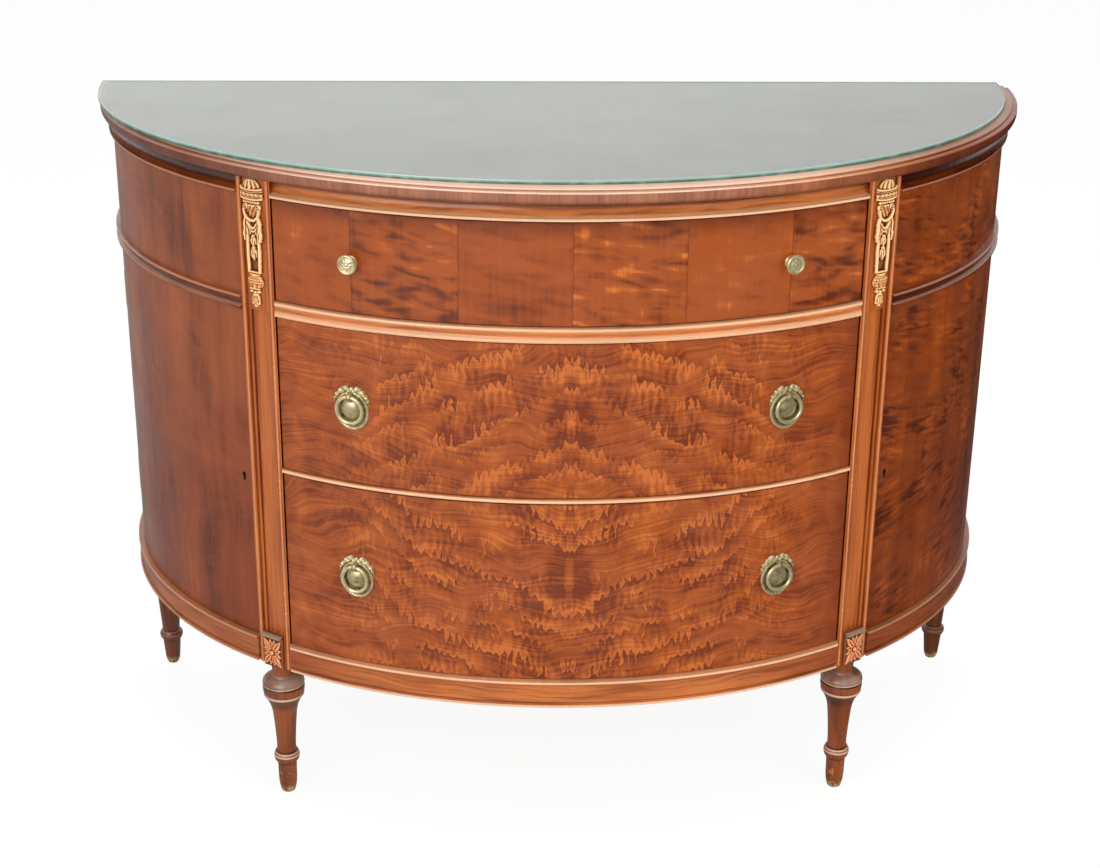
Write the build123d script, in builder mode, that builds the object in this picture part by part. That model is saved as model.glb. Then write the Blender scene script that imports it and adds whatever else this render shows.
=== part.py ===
from build123d import *
from math import sqrt
import os

# A half-moon console cabinet. Three bowed drawers stand between two pilasters, and a
# curved cupboard door closes each side. Millimetres, +Z up, the front faces -Y, and the
# origin lies on the floor, under the middle of the top.

# Overall sizes
top_half_width = 625.0
top_depth = 530.0
top_height = 883.5
body_setback = 15.0

# Levels above the floor
base_bottom = 200.5
base_top = 237.0
belt_height = 18.5
cornice_height = 21.5
top_thickness = 19.0
divider_height = 5.0

# How the room for drawers is shared out
top_drawer_share = 0.225
middle_drawer_share = 0.351

# Board thicknesses
panel_thickness = 19.0
board_thickness = 16.0
partition_thickness = 18.0
back_thickness = 8.0

# Gaps
reveal = 2.5
side_gap = 2.0
running_gap = 0.3
slip_gap = 0.1
bore_clearance = 0.05
cut_overrun = 30.0

# Top board
top_edge_round = 9.0
top_step_width = 7.0
top_step_height = 2.5
top_arris = 1.2

# Glass sheet, lying a little to the left and short of the front edge
glass_side_margin = 7.0
glass_front_margin = 25.0
glass_thickness = 5.0
glass_shift = 9.5
glass_arris = 1.0

# Mouldings
bead_proud = 6.0
bead_height = 4.6
bead_round = 2.0
rail_depth = 45.0
cornice_bead_height = 3.8
cornice_bead_round = 1.7
cornice_wall_setback = 8.0
cornice_cove_radius = 11.0
belt_cove_radius = 2.2
belt_wall_proud = 1.6
base_proud = 8.0
base_fascia_proud = 5.0
base_bead_height = 4.4
base_low_bead_height = 4.0
base_bead_round = 1.4
divider_proud = 4.0
divider_depth = 56.0
divider_round = 2.2

# Pilasters
opening_share = 0.5902
pilaster_width = 42.0
pilaster_proud = 2.0
pilaster_depth = 45.0
pilaster_foot_drop = 1.5
pilaster_bead_proud = 1.6
pilaster_bead_radius = 2.8
pilaster_bead_inset = 4.4
pilaster_groove_width = 4.0
pilaster_groove_depth = 2.6
pilaster_border = 3.5
pilaster_inner_border = 0.6
pilaster_recess_depth = 3.0
pilaster_recess_crown = 2.0
recess_lift = 2.1

# Rosette blocks
rosette_width = 31.0
rosette_height = 43.0
rosette_thickness = 7.0
rosette_cap_height = 5.0
rosette_cap_proud = 3.0
rosette_cap_round = 2.2
rosette_petal_length = 19.0
rosette_petal_width = 9.0
rosette_relief = 2.0
rosette_button_radius = 3.5

# Carved drops
drop_top_gap = 1.0
drop_foot_gap = 4.7
drop_band_width = 34.0
drop_band_share = 0.095
drop_dome_share = 0.068
drop_band_relief = 8.0
drop_body_relief = 5.0
drop_swag_radius = 13.0
drop_ribbon_width = 25.0
drop_ribbon_foot_width = 23.0
drop_ribbon_share = 0.7165
drop_urn_width = 26.0
drop_urn_share = 0.138
drop_husk_width = 13.0

# Legs
leg_front_inset = 14.2
leg_front_set_back = 14.5
leg_rear_inset = 28.0
leg_rear_depth = 32.0
leg_dowel_radius = 8.0
leg_dowel_length = 35.0
leg_neck_radius = 15.2
leg_neck_waist = 14.5
leg_neck_height = 30.0
leg_bulb_radius = 28.0
leg_dome_height = 14.5
leg_bulb_height = 15.3
leg_bulb_foot_radius = 27.0
leg_groove_depth = 1.6
leg_bead_radius = 25.0
leg_bead_height = 4.4
leg_cove_height = 24.0
leg_shaft_top_radius = 16.2
leg_shaft_foot_radius = 12.6
leg_collar_level = 40.5
leg_collar_height = 15.5
leg_collar_radius = 17.0
leg_ankle_radius = 13.3
leg_toe_radius = 10.9
leg_toe_height = 13.0
leg_toe_bulge = 0.8
leg_foot_radius = 7.6

# Rear posts
post_width = 58.0
post_depth = 48.5

# Drawers
drawer_front_thickness = 20.0
drawer_side_thickness = 12.0
drawer_side_clearance = 3.0
drawer_back_depth = 40.0
drawer_back_thickness = 12.0
drawer_bottom_thickness = 6.0
drawer_bottom_lift = 9.0
drawer_groove_depth = 5.0
drawer_side_drop = 22.0
runner_width = 20.0
runner_height = 16.0
stop_height = 24.0
stop_width = 11.0

# Knobs of the top drawer
knob_share = 0.728
knob_rose_radius = 8.5
knob_rose_height = 2.0
knob_neck_radius = 5.4
knob_neck_height = 5.5
knob_head_radius = 12.2
knob_head_height = 7.5
knob_head_round = 3.0
knob_rose_round = 0.8
knob_head_bottom_round = 2.5
stud_radius = 2.2
stud_nut_radius = 5.0
stud_nut_height = 3.0
stud_tip = 2.0

# Ring pulls of the two deep drawers
pull_share = 0.739
pull_lowering = 4.0
plate_width = 45.0
plate_height = 50.0
plate_thickness = 1.6
plate_rim_width = 3.2
plate_rim_height = 1.6
plate_rim_round = 0.7
boss_radius = 14.0
boss_height = 8.0
boss_round = 7.0
garland_leaf_shares = ((0.36, 1.22), (0.68, 0.98), (0.89, 0.74))
garland_knot_share = 1.16
garland_stem_reach = 3.5
garland_leaf_radius = 4.3
garland_knot_radius = 3.5
garland_thickness = 3.0
ring_radius = 17.0
ring_wire_radius = 2.3
ring_bar_length = 10.0
ring_stand_off = 9.0
ring_lift = 3.0
lug_width = 6.0
lug_wall = 1.5

# Doors
door_rear_gap = 3.0
door_edge_gap = 1.8

# Hinges
hinge_inset = 60.0
hinge_height = 50.0
hinge_middle_height = 22.0
hinge_knuckle_radius = 2.2
hinge_knuckle_gap = 0.3
hinge_axis_inset = 0.4
hinge_pin_radius = 1.0
hinge_leaf_width = 16.0
hinge_leaf_thickness = 1.3
hinge_head_height = 1.5
hinge_head_radius = 1.8

# Locks
lock_length = 42.0
lock_height = 60.0
lock_thickness = 11.0
lock_seat_depth = 8.5
keyhole_inset = 11.0
keyhole_radius = 2.7
keyhole_slot_width = 3.0
keyhole_slot_length = 8.0
keyhole_wall = 0.8
keyhole_depth = 5.0
bolt_height = 20.0
bolt_thickness = 5.0
bolt_length = 26.0
bolt_set_in = 0.5
strike_clearance = 1.0
bolt_throw = 8.0

# Shelves and their cleats
shelf_lowering = 35.0
shelf_curve_gap = 14.0
cleat_size = 14.0
cleat_front_gap = 215.0
cleat_rear_depth = 60.0
cleat_start_gap = 22.0
cleat_end_gap = 17.0

# Worked out from the sizes above
back_y = top_depth / 2
body_half_width = top_half_width - body_setback
body_depth = top_depth - body_setback
top_bottom = top_height - top_thickness
cornice_bottom = top_bottom - cornice_height
drawer_room = cornice_bottom - base_top - belt_height - divider_height
belt_top = cornice_bottom - drawer_room * top_drawer_share
belt_bottom = belt_top - belt_height
divider_top = belt_bottom - drawer_room * middle_drawer_share
divider_bottom = divider_top - divider_height
recess_top = belt_bottom + recess_lift
glass_half_width = top_half_width - glass_side_margin
glass_depth = top_depth - glass_front_margin
opening_half_width = body_half_width * opening_share
pilaster_outer_x = opening_half_width + pilaster_width
post_inner_x = body_half_width - post_width
pilaster_bottom = base_bottom - pilaster_foot_drop
base_inner = base_proud - panel_thickness
board_bottom = base_top - board_thickness
partition_outer_x = opening_half_width + partition_thickness
keyhole_x = pilaster_outer_x + keyhole_inset
lock_level = (base_top + belt_bottom) / 2
shelf_level = lock_level - shelf_lowering
cleat_front_depth = body_depth - cleat_front_gap
cleat_back_start = partition_outer_x + cleat_start_gap
cleat_back_end = post_inner_x - cleat_end_gap
drop_top = top_bottom - drop_top_gap
drop_length = drop_top - recess_top - drop_foot_gap
leg_front_x = opening_half_width + leg_front_inset
leg_rear_x = body_half_width - leg_rear_inset
knob_x = opening_half_width * knob_share
pull_x = opening_half_width * pull_share
door_bottom = base_top + side_gap
door_top = belt_bottom - side_gap
door_rear_depth = post_depth + door_rear_gap
hinge_depth = (post_depth + door_rear_depth) / 2
hinge_y = back_y - hinge_depth
hinge_depth_share = hinge_depth / body_depth
hinge_face_x = body_half_width * sqrt(1 - hinge_depth_share * hinge_depth_share)
hinge_x = hinge_face_x - hinge_axis_inset
hinge_levels = (door_bottom + hinge_inset, door_top - hinge_inset - hinge_height)
hinge_notch_radius = hinge_knuckle_radius + hinge_knuckle_gap
pin_reach = hinge_head_height + running_gap


def bow_y(x, proud=0.0):
    """The y of the bowed outline at x, for an outline that stands proud of the body."""
    share = x / (body_half_width + proud)
    return back_y - (body_depth + proud) * sqrt(1 - share * share)


def bow_normal(x):
    """The outward direction of the body's face at x."""
    return Vector(x / body_half_width**2, (bow_y(x) - back_y) / body_depth**2, 0).normalized()


def bow_tangent(x):
    """The level direction along the body's face at x, towards +X at the front."""
    normal = bow_normal(x)
    return Vector(-normal.Y, normal.X, 0)


def bow_point(x, proud=0.0, level=0.0):
    """A point in front of the body's face at x."""
    return Vector(x, bow_y(x), level) + bow_normal(x) * proud


def face_plane(x, level, proud=0.0):
    """A plane on the body's face at x, with its Y axis upright and its Z axis outward."""
    return Plane(origin=bow_point(x, proud, level), x_dir=bow_tangent(x), z_dir=bow_normal(x))


def bow_face(proud, mode=Mode.ADD):
    """The half-moon plan of an outline that stands proud of the body."""
    with BuildLine(mode=Mode.PRIVATE) as rim:
        half_width = body_half_width + proud
        depth = body_depth + proud
        arc = EllipticalCenterArc((0, back_y), half_width, depth, 180, arc_size=180)
        Line(arc @ 1, arc @ 0)
    make_face(rim.edges(), mode=mode)


def hinge_barrel(level, height, radius, mode=Mode.ADD):
    """A round length of a hinge, about its axis."""
    with Locations((hinge_x, hinge_y, level + height / 2)):
        Cylinder(radius, height, mode=mode)


def cut_hinge_notches():
    """Cuts room for the hinge barrels out of the open part."""
    reach = pin_reach + running_gap
    for level in hinge_levels:
        notch_height = hinge_height + 2 * reach
        hinge_barrel(level - reach, notch_height, hinge_notch_radius, mode=Mode.SUBTRACT)


def keep_between(left_x, right_x, front_y, rear_y):
    """Keeps what the open sketch has inside a rectangle."""
    with BuildLine(mode=Mode.PRIVATE) as frame:
        corners = [(left_x, front_y), (right_x, front_y), (right_x, rear_y), (left_x, rear_y)]
        Polyline(*corners, close=True)
    make_face(frame.edges(), mode=Mode.INTERSECT)


def keep_side(edge_x, edge_gap, rear_depth):
    """Keeps the right-hand side of the open sketch, behind a line square to the face."""
    normal = bow_normal(edge_x)
    start = bow_point(edge_x) + bow_tangent(edge_x) * edge_gap
    outer = start + normal * cut_overrun
    inner = start - normal * cut_overrun
    rear_y = back_y - rear_depth
    far_x = top_half_width + cut_overrun
    with BuildLine(mode=Mode.PRIVATE) as frame:
        Polyline(
            (outer.X, outer.Y),
            (inner.X, inner.Y),
            (inner.X, rear_y),
            (far_x, rear_y),
            (far_x, outer.Y),
            close=True,
        )
    make_face(frame.edges(), mode=Mode.INTERSECT)


def front_band(outer, inner, half_width):
    """The front stretch of a curved band between two outlines."""
    bow_face(outer)
    bow_face(inner, mode=Mode.SUBTRACT)
    keep_between(-half_width, half_width, -top_depth, back_y)


def side_band(outer, inner, edge_gap=0.0, rear_depth=0.0):
    """The right-hand stretch of a curved band, from the pilaster to the rear."""
    bow_face(outer)
    bow_face(inner, mode=Mode.SUBTRACT)
    keep_side(pilaster_outer_x, edge_gap, rear_depth)


def band(at_front, outer, inner):
    """One stretch of a moulding that stops at the pilasters."""
    if at_front:
        front_band(outer, inner, opening_half_width)
    else:
        side_band(outer, inner, slip_gap)


def curved_edge(part, level, rank=1):
    """The curved edge at one level, the outermost one or one counted from it."""
    edges = part.edges().filter_by_position(Axis.Z, level, level, inclusive=(True, True))
    curved = edges.filter_by(GeomType.ELLIPSE)
    return curved.sort_by(lambda edge: edge.bounding_box().min.Y)[rank - 1]


# Top board: a stepped upper edge and a rounded lower one
step_level = top_height - top_step_height
with BuildPart() as top_board:
    with BuildSketch(Plane.XY.offset(top_bottom)):
        bow_face(body_setback)
    extrude(amount=step_level - top_bottom)
    fillet(curved_edge(top_board, top_bottom), radius=top_edge_round)
    fillet(curved_edge(top_board, step_level), radius=top_arris)
    with BuildSketch(Plane.XY.offset(step_level)):
        bow_face(body_setback - top_step_width)
    extrude(amount=top_step_height)
    fillet(curved_edge(top_board, top_height), radius=top_arris)
top_board.part.label = "top_board"

# Glass sheet
with BuildPart() as glass_top:
    with BuildSketch(Plane.XY.offset(top_height)):
        with BuildLine():
            centre = (-glass_shift, back_y)
            rim = EllipticalCenterArc(centre, glass_half_width, glass_depth, 180, arc_size=180)
            Line(rim @ 1, rim @ 0)
        make_face()
    extrude(amount=glass_thickness)
    fillet(curved_edge(glass_top, top_height + glass_thickness), radius=glass_arris)
glass_top.part.label = "glass_top"


def cornice_stretch(at_front):
    """A stretch of cornice: a bead, a wall above it, and a cove that joins them."""
    bead_top = cornice_bottom + cornice_bead_height
    with BuildPart() as stretch:
        with BuildSketch(Plane.XY.offset(cornice_bottom)):
            band(at_front, bead_proud, -panel_thickness)
        extrude(amount=cornice_bead_height)
        with BuildSketch(Plane.XY.offset(bead_top)):
            band(at_front, -cornice_wall_setback, -panel_thickness)
        extrude(amount=top_bottom - bead_top)
        fillet(curved_edge(stretch, bead_top, rank=2), radius=cornice_cove_radius)
        fillet(curved_edge(stretch, cornice_bottom), radius=cornice_bead_round)
    return stretch.part


def belt_stretch(at_front, inner):
    """A stretch of belt moulding: two beads with a cove between them."""
    wall_bottom = belt_bottom + bead_height
    wall_top = belt_top - bead_height
    with BuildPart() as stretch:
        for bead_level in (belt_bottom, wall_top):
            with BuildSketch(Plane.XY.offset(bead_level)):
                band(at_front, bead_proud, inner)
            extrude(amount=bead_height)
        with BuildSketch(Plane.XY.offset(wall_bottom)):
            band(at_front, belt_wall_proud, inner)
        extrude(amount=wall_top - wall_bottom)
        for cove_level in (wall_bottom, wall_top):
            fillet(curved_edge(stretch, cove_level, rank=2), radius=belt_cove_radius)
        for rim_level in (belt_bottom, wall_bottom, wall_top, belt_top):
            fillet(curved_edge(stretch, rim_level), radius=bead_round)
    return stretch.part


def base_stretch(at_front):
    """A stretch of base rail: a bead above, a plain fascia, and a thin bead below."""
    fascia_bottom = base_bottom + base_low_bead_height
    fascia_top = base_top - base_bead_height
    with BuildPart() as stretch:
        with BuildSketch(Plane.XY.offset(base_bottom)):
            band(at_front, base_fascia_proud, base_inner)
        extrude(amount=base_top - base_bottom)
        with BuildSketch(Plane.XY.offset(base_bottom)):
            band(at_front, base_proud, base_inner)
        extrude(amount=base_low_bead_height)
        with BuildSketch(Plane.XY.offset(fascia_top)):
            band(at_front, base_proud, base_inner)
        extrude(amount=base_bead_height)
        for rim_level in (base_bottom, fascia_bottom):
            fillet(curved_edge(stretch, rim_level), radius=base_bead_round)
        for rim_level in (fascia_top, base_top):
            fillet(curved_edge(stretch, rim_level), radius=base_bead_round)
    return stretch.part


# Mouldings of the case, each side one mirrored to the other side
cornice_front = cornice_stretch(True)
cornice_side = cornice_stretch(False)
with BuildPart() as cornice_mouldings:
    add(cornice_front)
    add(cornice_side)
    mirror(cornice_side, about=Plane.YZ)
cornice_mouldings.part.label = "cornice_mouldings"

belt_side = belt_stretch(False, -panel_thickness)
with BuildPart() as belt_mouldings:
    add(belt_side)
    mirror(belt_side, about=Plane.YZ)
belt_mouldings.part.label = "belt_mouldings"

belt_front = belt_stretch(True, -rail_depth)
with BuildPart() as mid_rail:
    add(belt_front)
mid_rail.part.label = "mid_rail"

base_front = base_stretch(True)
with BuildPart() as base_front_rail:
    add(base_front)
base_front_rail.part.label = "base_front_rail"

base_side = base_stretch(False)
with BuildPart() as base_side_rails:
    add(base_side)
    mirror(base_side, about=Plane.YZ)
base_side_rails.part.label = "base_side_rails"

# Thin rail between the two deep drawers, its front edge a bead
with BuildPart() as divider_rail:
    with BuildSketch(Plane.XY.offset(divider_bottom)):
        front_band(divider_proud, -divider_depth, opening_half_width)
    extrude(amount=divider_height)
    for rim_level in (divider_bottom, divider_top):
        fillet(curved_edge(divider_rail, rim_level), radius=divider_round)
divider_rail.part.label = "divider_rail"

# Fixed curved panels above the doors
with BuildPart() as frieze_right:
    with BuildSketch(Plane.XY.offset(belt_top)):
        side_band(0, -panel_thickness, slip_gap, post_depth)
    extrude(amount=cornice_bottom - belt_top)
frieze_right.part.label = "frieze_right"
with BuildPart() as frieze_left:
    mirror(frieze_right.part, about=Plane.YZ)
frieze_left.part.label = "frieze_left"

# Pilasters: a flat-faced post with a bead at each edge, a groove, and a long recess
face_start = Vector(opening_half_width, bow_y(opening_half_width, pilaster_proud), 0)
face_end = bow_point(pilaster_outer_x, pilaster_proud)
chord = (face_end - face_start).normalized()
half_chord = (face_end - face_start).length / 2
face_middle = (face_start + face_end) / 2
face_outward = chord.cross(Vector(0, 0, 1))
post_rear = face_end - bow_normal(pilaster_outer_x) * pilaster_depth
recess_bottom = pilaster_bottom + rosette_height + rosette_cap_height
bead_reach = pilaster_bead_inset + pilaster_bead_radius
recess_start = bead_reach + pilaster_inner_border - half_chord
groove_end = half_chord - bead_reach
recess_end = groove_end - pilaster_groove_width - pilaster_border
recess_middle = (recess_start + recess_end) / 2
leg_front_y = bow_y(leg_front_x) + leg_front_set_back


def pilaster_plan(mode=Mode.ADD):
    """The plan of the right-hand pilaster, without its mouldings."""
    with BuildLine(mode=Mode.PRIVATE) as rim:
        Polyline(
            (face_start.X, face_start.Y),
            (face_end.X, face_end.Y),
            (post_rear.X, post_rear.Y),
            (opening_half_width, post_rear.Y),
            close=True,
        )
    make_face(rim.edges(), mode=mode)


def chord_plan(level):
    """A level plane along the pilaster's face, with its Y axis into the wood."""
    return Plane(origin=face_middle + Vector(0, 0, level), x_dir=chord, z_dir=(0, 0, 1))


def pilaster_face(level):
    """An upright plane on the pilaster's face, with its Z axis outward."""
    return Plane(origin=face_middle + Vector(0, 0, level), x_dir=chord, z_dir=face_outward)


door_edge = bow_point(pilaster_outer_x) + bow_tangent(pilaster_outer_x) * door_edge_gap
lock_plane = Plane(
    origin=door_edge + Vector(0, 0, lock_level),
    x_dir=bow_tangent(pilaster_outer_x),
    z_dir=bow_normal(pilaster_outer_x),
)
bolt_sink = lock_seat_depth + lock_thickness / 2

with BuildPart() as pilaster_right:
    with BuildSketch(Plane.XY.offset(pilaster_bottom)):
        pilaster_plan()
    extrude(amount=top_bottom - pilaster_bottom)
    with BuildSketch(chord_plan(pilaster_bottom)):
        with Locations((groove_end - pilaster_groove_width / 2, 0)):
            Rectangle(pilaster_groove_width, 2 * pilaster_groove_depth)
    extrude(amount=top_bottom - pilaster_bottom, mode=Mode.SUBTRACT)
    with BuildSketch(chord_plan(pilaster_bottom)):
        bead_sink = pilaster_bead_radius - pilaster_bead_proud
        bead_u = half_chord - pilaster_bead_inset
        with Locations((-bead_u, bead_sink), (bead_u, bead_sink)):
            Circle(pilaster_bead_radius)
    extrude(amount=top_bottom - pilaster_bottom)
    with BuildSketch(chord_plan(recess_bottom)):
        with BuildLine():
            deepest = pilaster_recess_depth + pilaster_recess_crown
            floor_start = (recess_start, pilaster_recess_depth)
            floor_end = (recess_end, pilaster_recess_depth)
            floor = ThreePointArc(floor_start, (recess_middle, deepest), floor_end)
            Line(floor @ 1, (recess_end, -cut_overrun))
            Line((recess_end, -cut_overrun), (recess_start, -cut_overrun))
            Line((recess_start, -cut_overrun), floor @ 0)
        make_face()
    extrude(amount=recess_top - recess_bottom, mode=Mode.SUBTRACT)
    with BuildSketch(Plane.XY.offset(pilaster_bottom)):
        with Locations((leg_front_x, leg_front_y)):
            Circle(leg_dowel_radius + bore_clearance)
    extrude(amount=leg_dowel_length + slip_gap, mode=Mode.SUBTRACT)
    with BuildSketch(lock_plane.offset(-bolt_sink)):
        Rectangle(
            2 * (bolt_throw + door_edge_gap + strike_clearance),
            bolt_height + 2 * strike_clearance,
        )
    extrude(amount=bolt_thickness / 2 + strike_clearance, both=True, mode=Mode.SUBTRACT)
pilaster_right.part.label = "pilaster_right"
with BuildPart() as pilaster_left:
    mirror(pilaster_right.part, about=Plane.YZ)
pilaster_left.part.label = "pilaster_left"

# Carved drops: a domed cap, a banded collar, a ribbon, a small urn and a husk
drop_dome_height = drop_length * drop_dome_share
drop_band_height = drop_length * drop_band_share
drop_urn_height = drop_length * drop_urn_share
band_top = drop_top - drop_dome_height
band_bottom = band_top - drop_band_height
swag_centre = band_bottom - drop_swag_radius / 2
drop_ribbon_bottom = drop_top - drop_length * drop_ribbon_share
drop_husk_height = drop_ribbon_bottom - drop_urn_height - recess_top - drop_foot_gap
urn_centre = drop_ribbon_bottom - drop_urn_height / 2
husk_centre = drop_ribbon_bottom - drop_urn_height - drop_husk_height / 2
with BuildPart() as drop_right:
    with BuildSketch(pilaster_face(0)):
        with Locations((0, band_top)):
            Ellipse(drop_band_width / 2 - drop_body_relief, drop_dome_height)
        with Locations((0, (band_top + band_bottom) / 2)):
            Rectangle(drop_band_width, drop_band_height)
    extrude(amount=drop_band_relief)
    with BuildSketch(pilaster_face(0)):
        with Locations((0, swag_centre)):
            Circle(drop_swag_radius)
        with BuildLine():
            Polyline(
                (-drop_ribbon_width / 2, swag_centre),
                (drop_ribbon_width / 2, swag_centre),
                (drop_ribbon_foot_width / 2, drop_ribbon_bottom),
                (-drop_ribbon_foot_width / 2, drop_ribbon_bottom),
                close=True,
            )
        make_face()
        with Locations((0, urn_centre)):
            Ellipse(drop_urn_width / 2, drop_urn_height / 2 + drop_body_relief)
        with Locations((0, husk_centre)):
            Ellipse(drop_husk_width / 2, drop_husk_height / 2 + drop_body_relief)
    extrude(amount=drop_body_relief)
with BuildPart() as carved_drops:
    add(drop_right.part)
    mirror(drop_right.part, about=Plane.YZ)
carved_drops.part.label = "carved_drops"

# Rosette blocks: a square block with a four-petalled flower under a small cap
rosette_centre = pilaster_bottom + rosette_height / 2
with BuildPart() as rosette_right:
    with BuildSketch(pilaster_face(rosette_centre)):
        Rectangle(rosette_width, rosette_height)
    extrude(amount=rosette_thickness)
    cap_level = pilaster_bottom + rosette_height + rosette_cap_height / 2
    cap_reach = rosette_thickness + rosette_cap_proud
    with BuildSketch(pilaster_face(cap_level)):
        Rectangle(rosette_width, rosette_cap_height)
    extrude(amount=cap_reach)
    cap_edges = rosette_right.edges().filter_by(Axis(face_middle, chord))
    outermost = cap_edges.sort_by(lambda edge: edge.center().dot(face_outward))[-2:]
    fillet(outermost, radius=rosette_cap_round)
    with BuildSketch(pilaster_face(rosette_centre).offset(rosette_thickness)):
        with PolarLocations(rosette_petal_length / 2, 4, start_angle=45):
            Ellipse(rosette_petal_length / 2, rosette_petal_width / 2)
        Circle(rosette_button_radius)
    extrude(amount=rosette_relief)
with BuildPart() as rosette_blocks:
    add(rosette_right.part)
    mirror(rosette_right.part, about=Plane.YZ)
rosette_blocks.part.label = "rosette_blocks"

# Rear posts, notched where the mouldings pass over them
with BuildPart() as rear_post_right:
    with BuildSketch(Plane.XY.offset(pilaster_bottom)):
        bow_face(0)
        keep_between(post_inner_x, top_half_width, back_y - post_depth, back_y)
    extrude(amount=top_bottom - pilaster_bottom)
    with BuildSketch(Plane.XY.offset(pilaster_bottom)):
        side_band(base_proud, base_inner)
    extrude(amount=base_top - pilaster_bottom, mode=Mode.SUBTRACT)
    for notch_bottom, notch_top in ((belt_bottom, belt_top), (cornice_bottom, top_bottom)):
        with BuildSketch(Plane.XY.offset(notch_bottom)):
            side_band(bead_proud, -panel_thickness)
        extrude(amount=notch_top - notch_bottom, mode=Mode.SUBTRACT)
    with BuildSketch(Plane.XY.offset(pilaster_bottom)):
        with Locations((leg_rear_x, back_y - leg_rear_depth)):
            Circle(leg_dowel_radius + bore_clearance)
    extrude(amount=leg_dowel_length + slip_gap, mode=Mode.SUBTRACT)
    cut_hinge_notches()
rear_post_right.part.label = "rear_post_right"
with BuildPart() as rear_post_left:
    mirror(rear_post_right.part, about=Plane.YZ)
rear_post_left.part.label = "rear_post_left"


def clear_posts():
    """Cuts the pilasters and rear posts out of the open sketch."""
    pilaster_plan(mode=Mode.SUBTRACT)
    with Locations((top_half_width, back_y)):
        cut_width = 2 * (top_half_width - post_inner_x)
        Rectangle(cut_width, 2 * post_depth, mode=Mode.SUBTRACT)


# Bottom board, inside the base rails
inside_y = back_y - back_thickness
with BuildPart() as bottom_board:
    with BuildSketch(Plane.XY.offset(board_bottom)):
        bow_face(base_inner)
        keep_between(0, top_half_width, -top_depth, inside_y)
        clear_posts()
    extrude(amount=board_thickness)
    mirror(about=Plane.YZ)
bottom_board.part.label = "bottom_board"

# Back panel, between the rear posts
with BuildPart() as back_panel:
    with BuildSketch(Plane.XY.offset(board_bottom)):
        with Locations((0, back_y - back_thickness / 2)):
            Rectangle(2 * post_inner_x, back_thickness)
    extrude(amount=top_bottom - board_bottom)
back_panel.part.label = "back_panel"

# Partitions between the drawers and the cupboards
with BuildPart() as partition_right:
    with BuildSketch(Plane.XY.offset(base_top)):
        with BuildLine():
            Polyline(
                (opening_half_width, post_rear.Y),
                (partition_outer_x, post_rear.Y),
                (partition_outer_x, inside_y),
                (opening_half_width, inside_y),
                close=True,
            )
        make_face()
        pilaster_plan(mode=Mode.SUBTRACT)
    extrude(amount=top_bottom - base_top)
partition_right.part.label = "partition_right"
with BuildPart() as partition_left:
    mirror(partition_right.part, about=Plane.YZ)
partition_left.part.label = "partition_left"

# Shelves, short of the doors, and the cleats under them
with BuildPart() as shelf_right:
    with BuildSketch(Plane.XY.offset(shelf_level)):
        bow_face(-panel_thickness - shelf_curve_gap)
        keep_between(partition_outer_x + slip_gap, post_inner_x, -top_depth, inside_y)
        clear_posts()
    extrude(amount=board_thickness)
shelf_right.part.label = "shelf_right"
with BuildPart() as shelf_left:
    mirror(shelf_right.part, about=Plane.YZ)
shelf_left.part.label = "shelf_left"

with BuildPart() as cleats_right:
    with BuildSketch(Plane.XY.offset(shelf_level - cleat_size)):
        side_cleat_y = back_y - (cleat_front_depth + cleat_rear_depth) / 2
        with Locations((partition_outer_x + cleat_size / 2, side_cleat_y)):
            Rectangle(cleat_size, cleat_front_depth - cleat_rear_depth)
        with Locations(((cleat_back_start + cleat_back_end) / 2, inside_y - cleat_size / 2)):
            Rectangle(cleat_back_end - cleat_back_start, cleat_size)
    extrude(amount=cleat_size)
with BuildPart() as shelf_cleats:
    add(cleats_right.part)
    mirror(cleats_right.part, about=Plane.YZ)
shelf_cleats.part.label = "shelf_cleats"

# Drawer runners behind the rails, and the stops at their rear ends
with BuildPart() as runners_right:
    for floor_level, front_inner in ((belt_top, -rail_depth), (divider_top, -divider_depth)):
        with BuildSketch(Plane.XY.offset(floor_level - runner_height)):
            bow_face(front_inner)
            runner_inner = opening_half_width - runner_width
            keep_between(runner_inner, opening_half_width, -top_depth, inside_y)
        extrude(amount=runner_height)
with BuildPart() as drawer_runners:
    add(runners_right.part)
    mirror(runners_right.part, about=Plane.YZ)
drawer_runners.part.label = "drawer_runners"

stop_outer = opening_half_width - drawer_side_clearance
stop_front_y = back_y - drawer_back_depth + running_gap
with BuildPart() as stops_right:
    for floor_level in (base_top, divider_top, belt_top):
        with BuildSketch(Plane.XY.offset(floor_level)):
            with Locations((stop_outer - stop_width / 2, (stop_front_y + inside_y) / 2)):
                Rectangle(stop_width, inside_y - stop_front_y)
        extrude(amount=stop_height)
with BuildPart() as drawer_stops:
    add(stops_right.part)
    mirror(stops_right.part, about=Plane.YZ)
drawer_stops.part.label = "drawer_stops"

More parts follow.
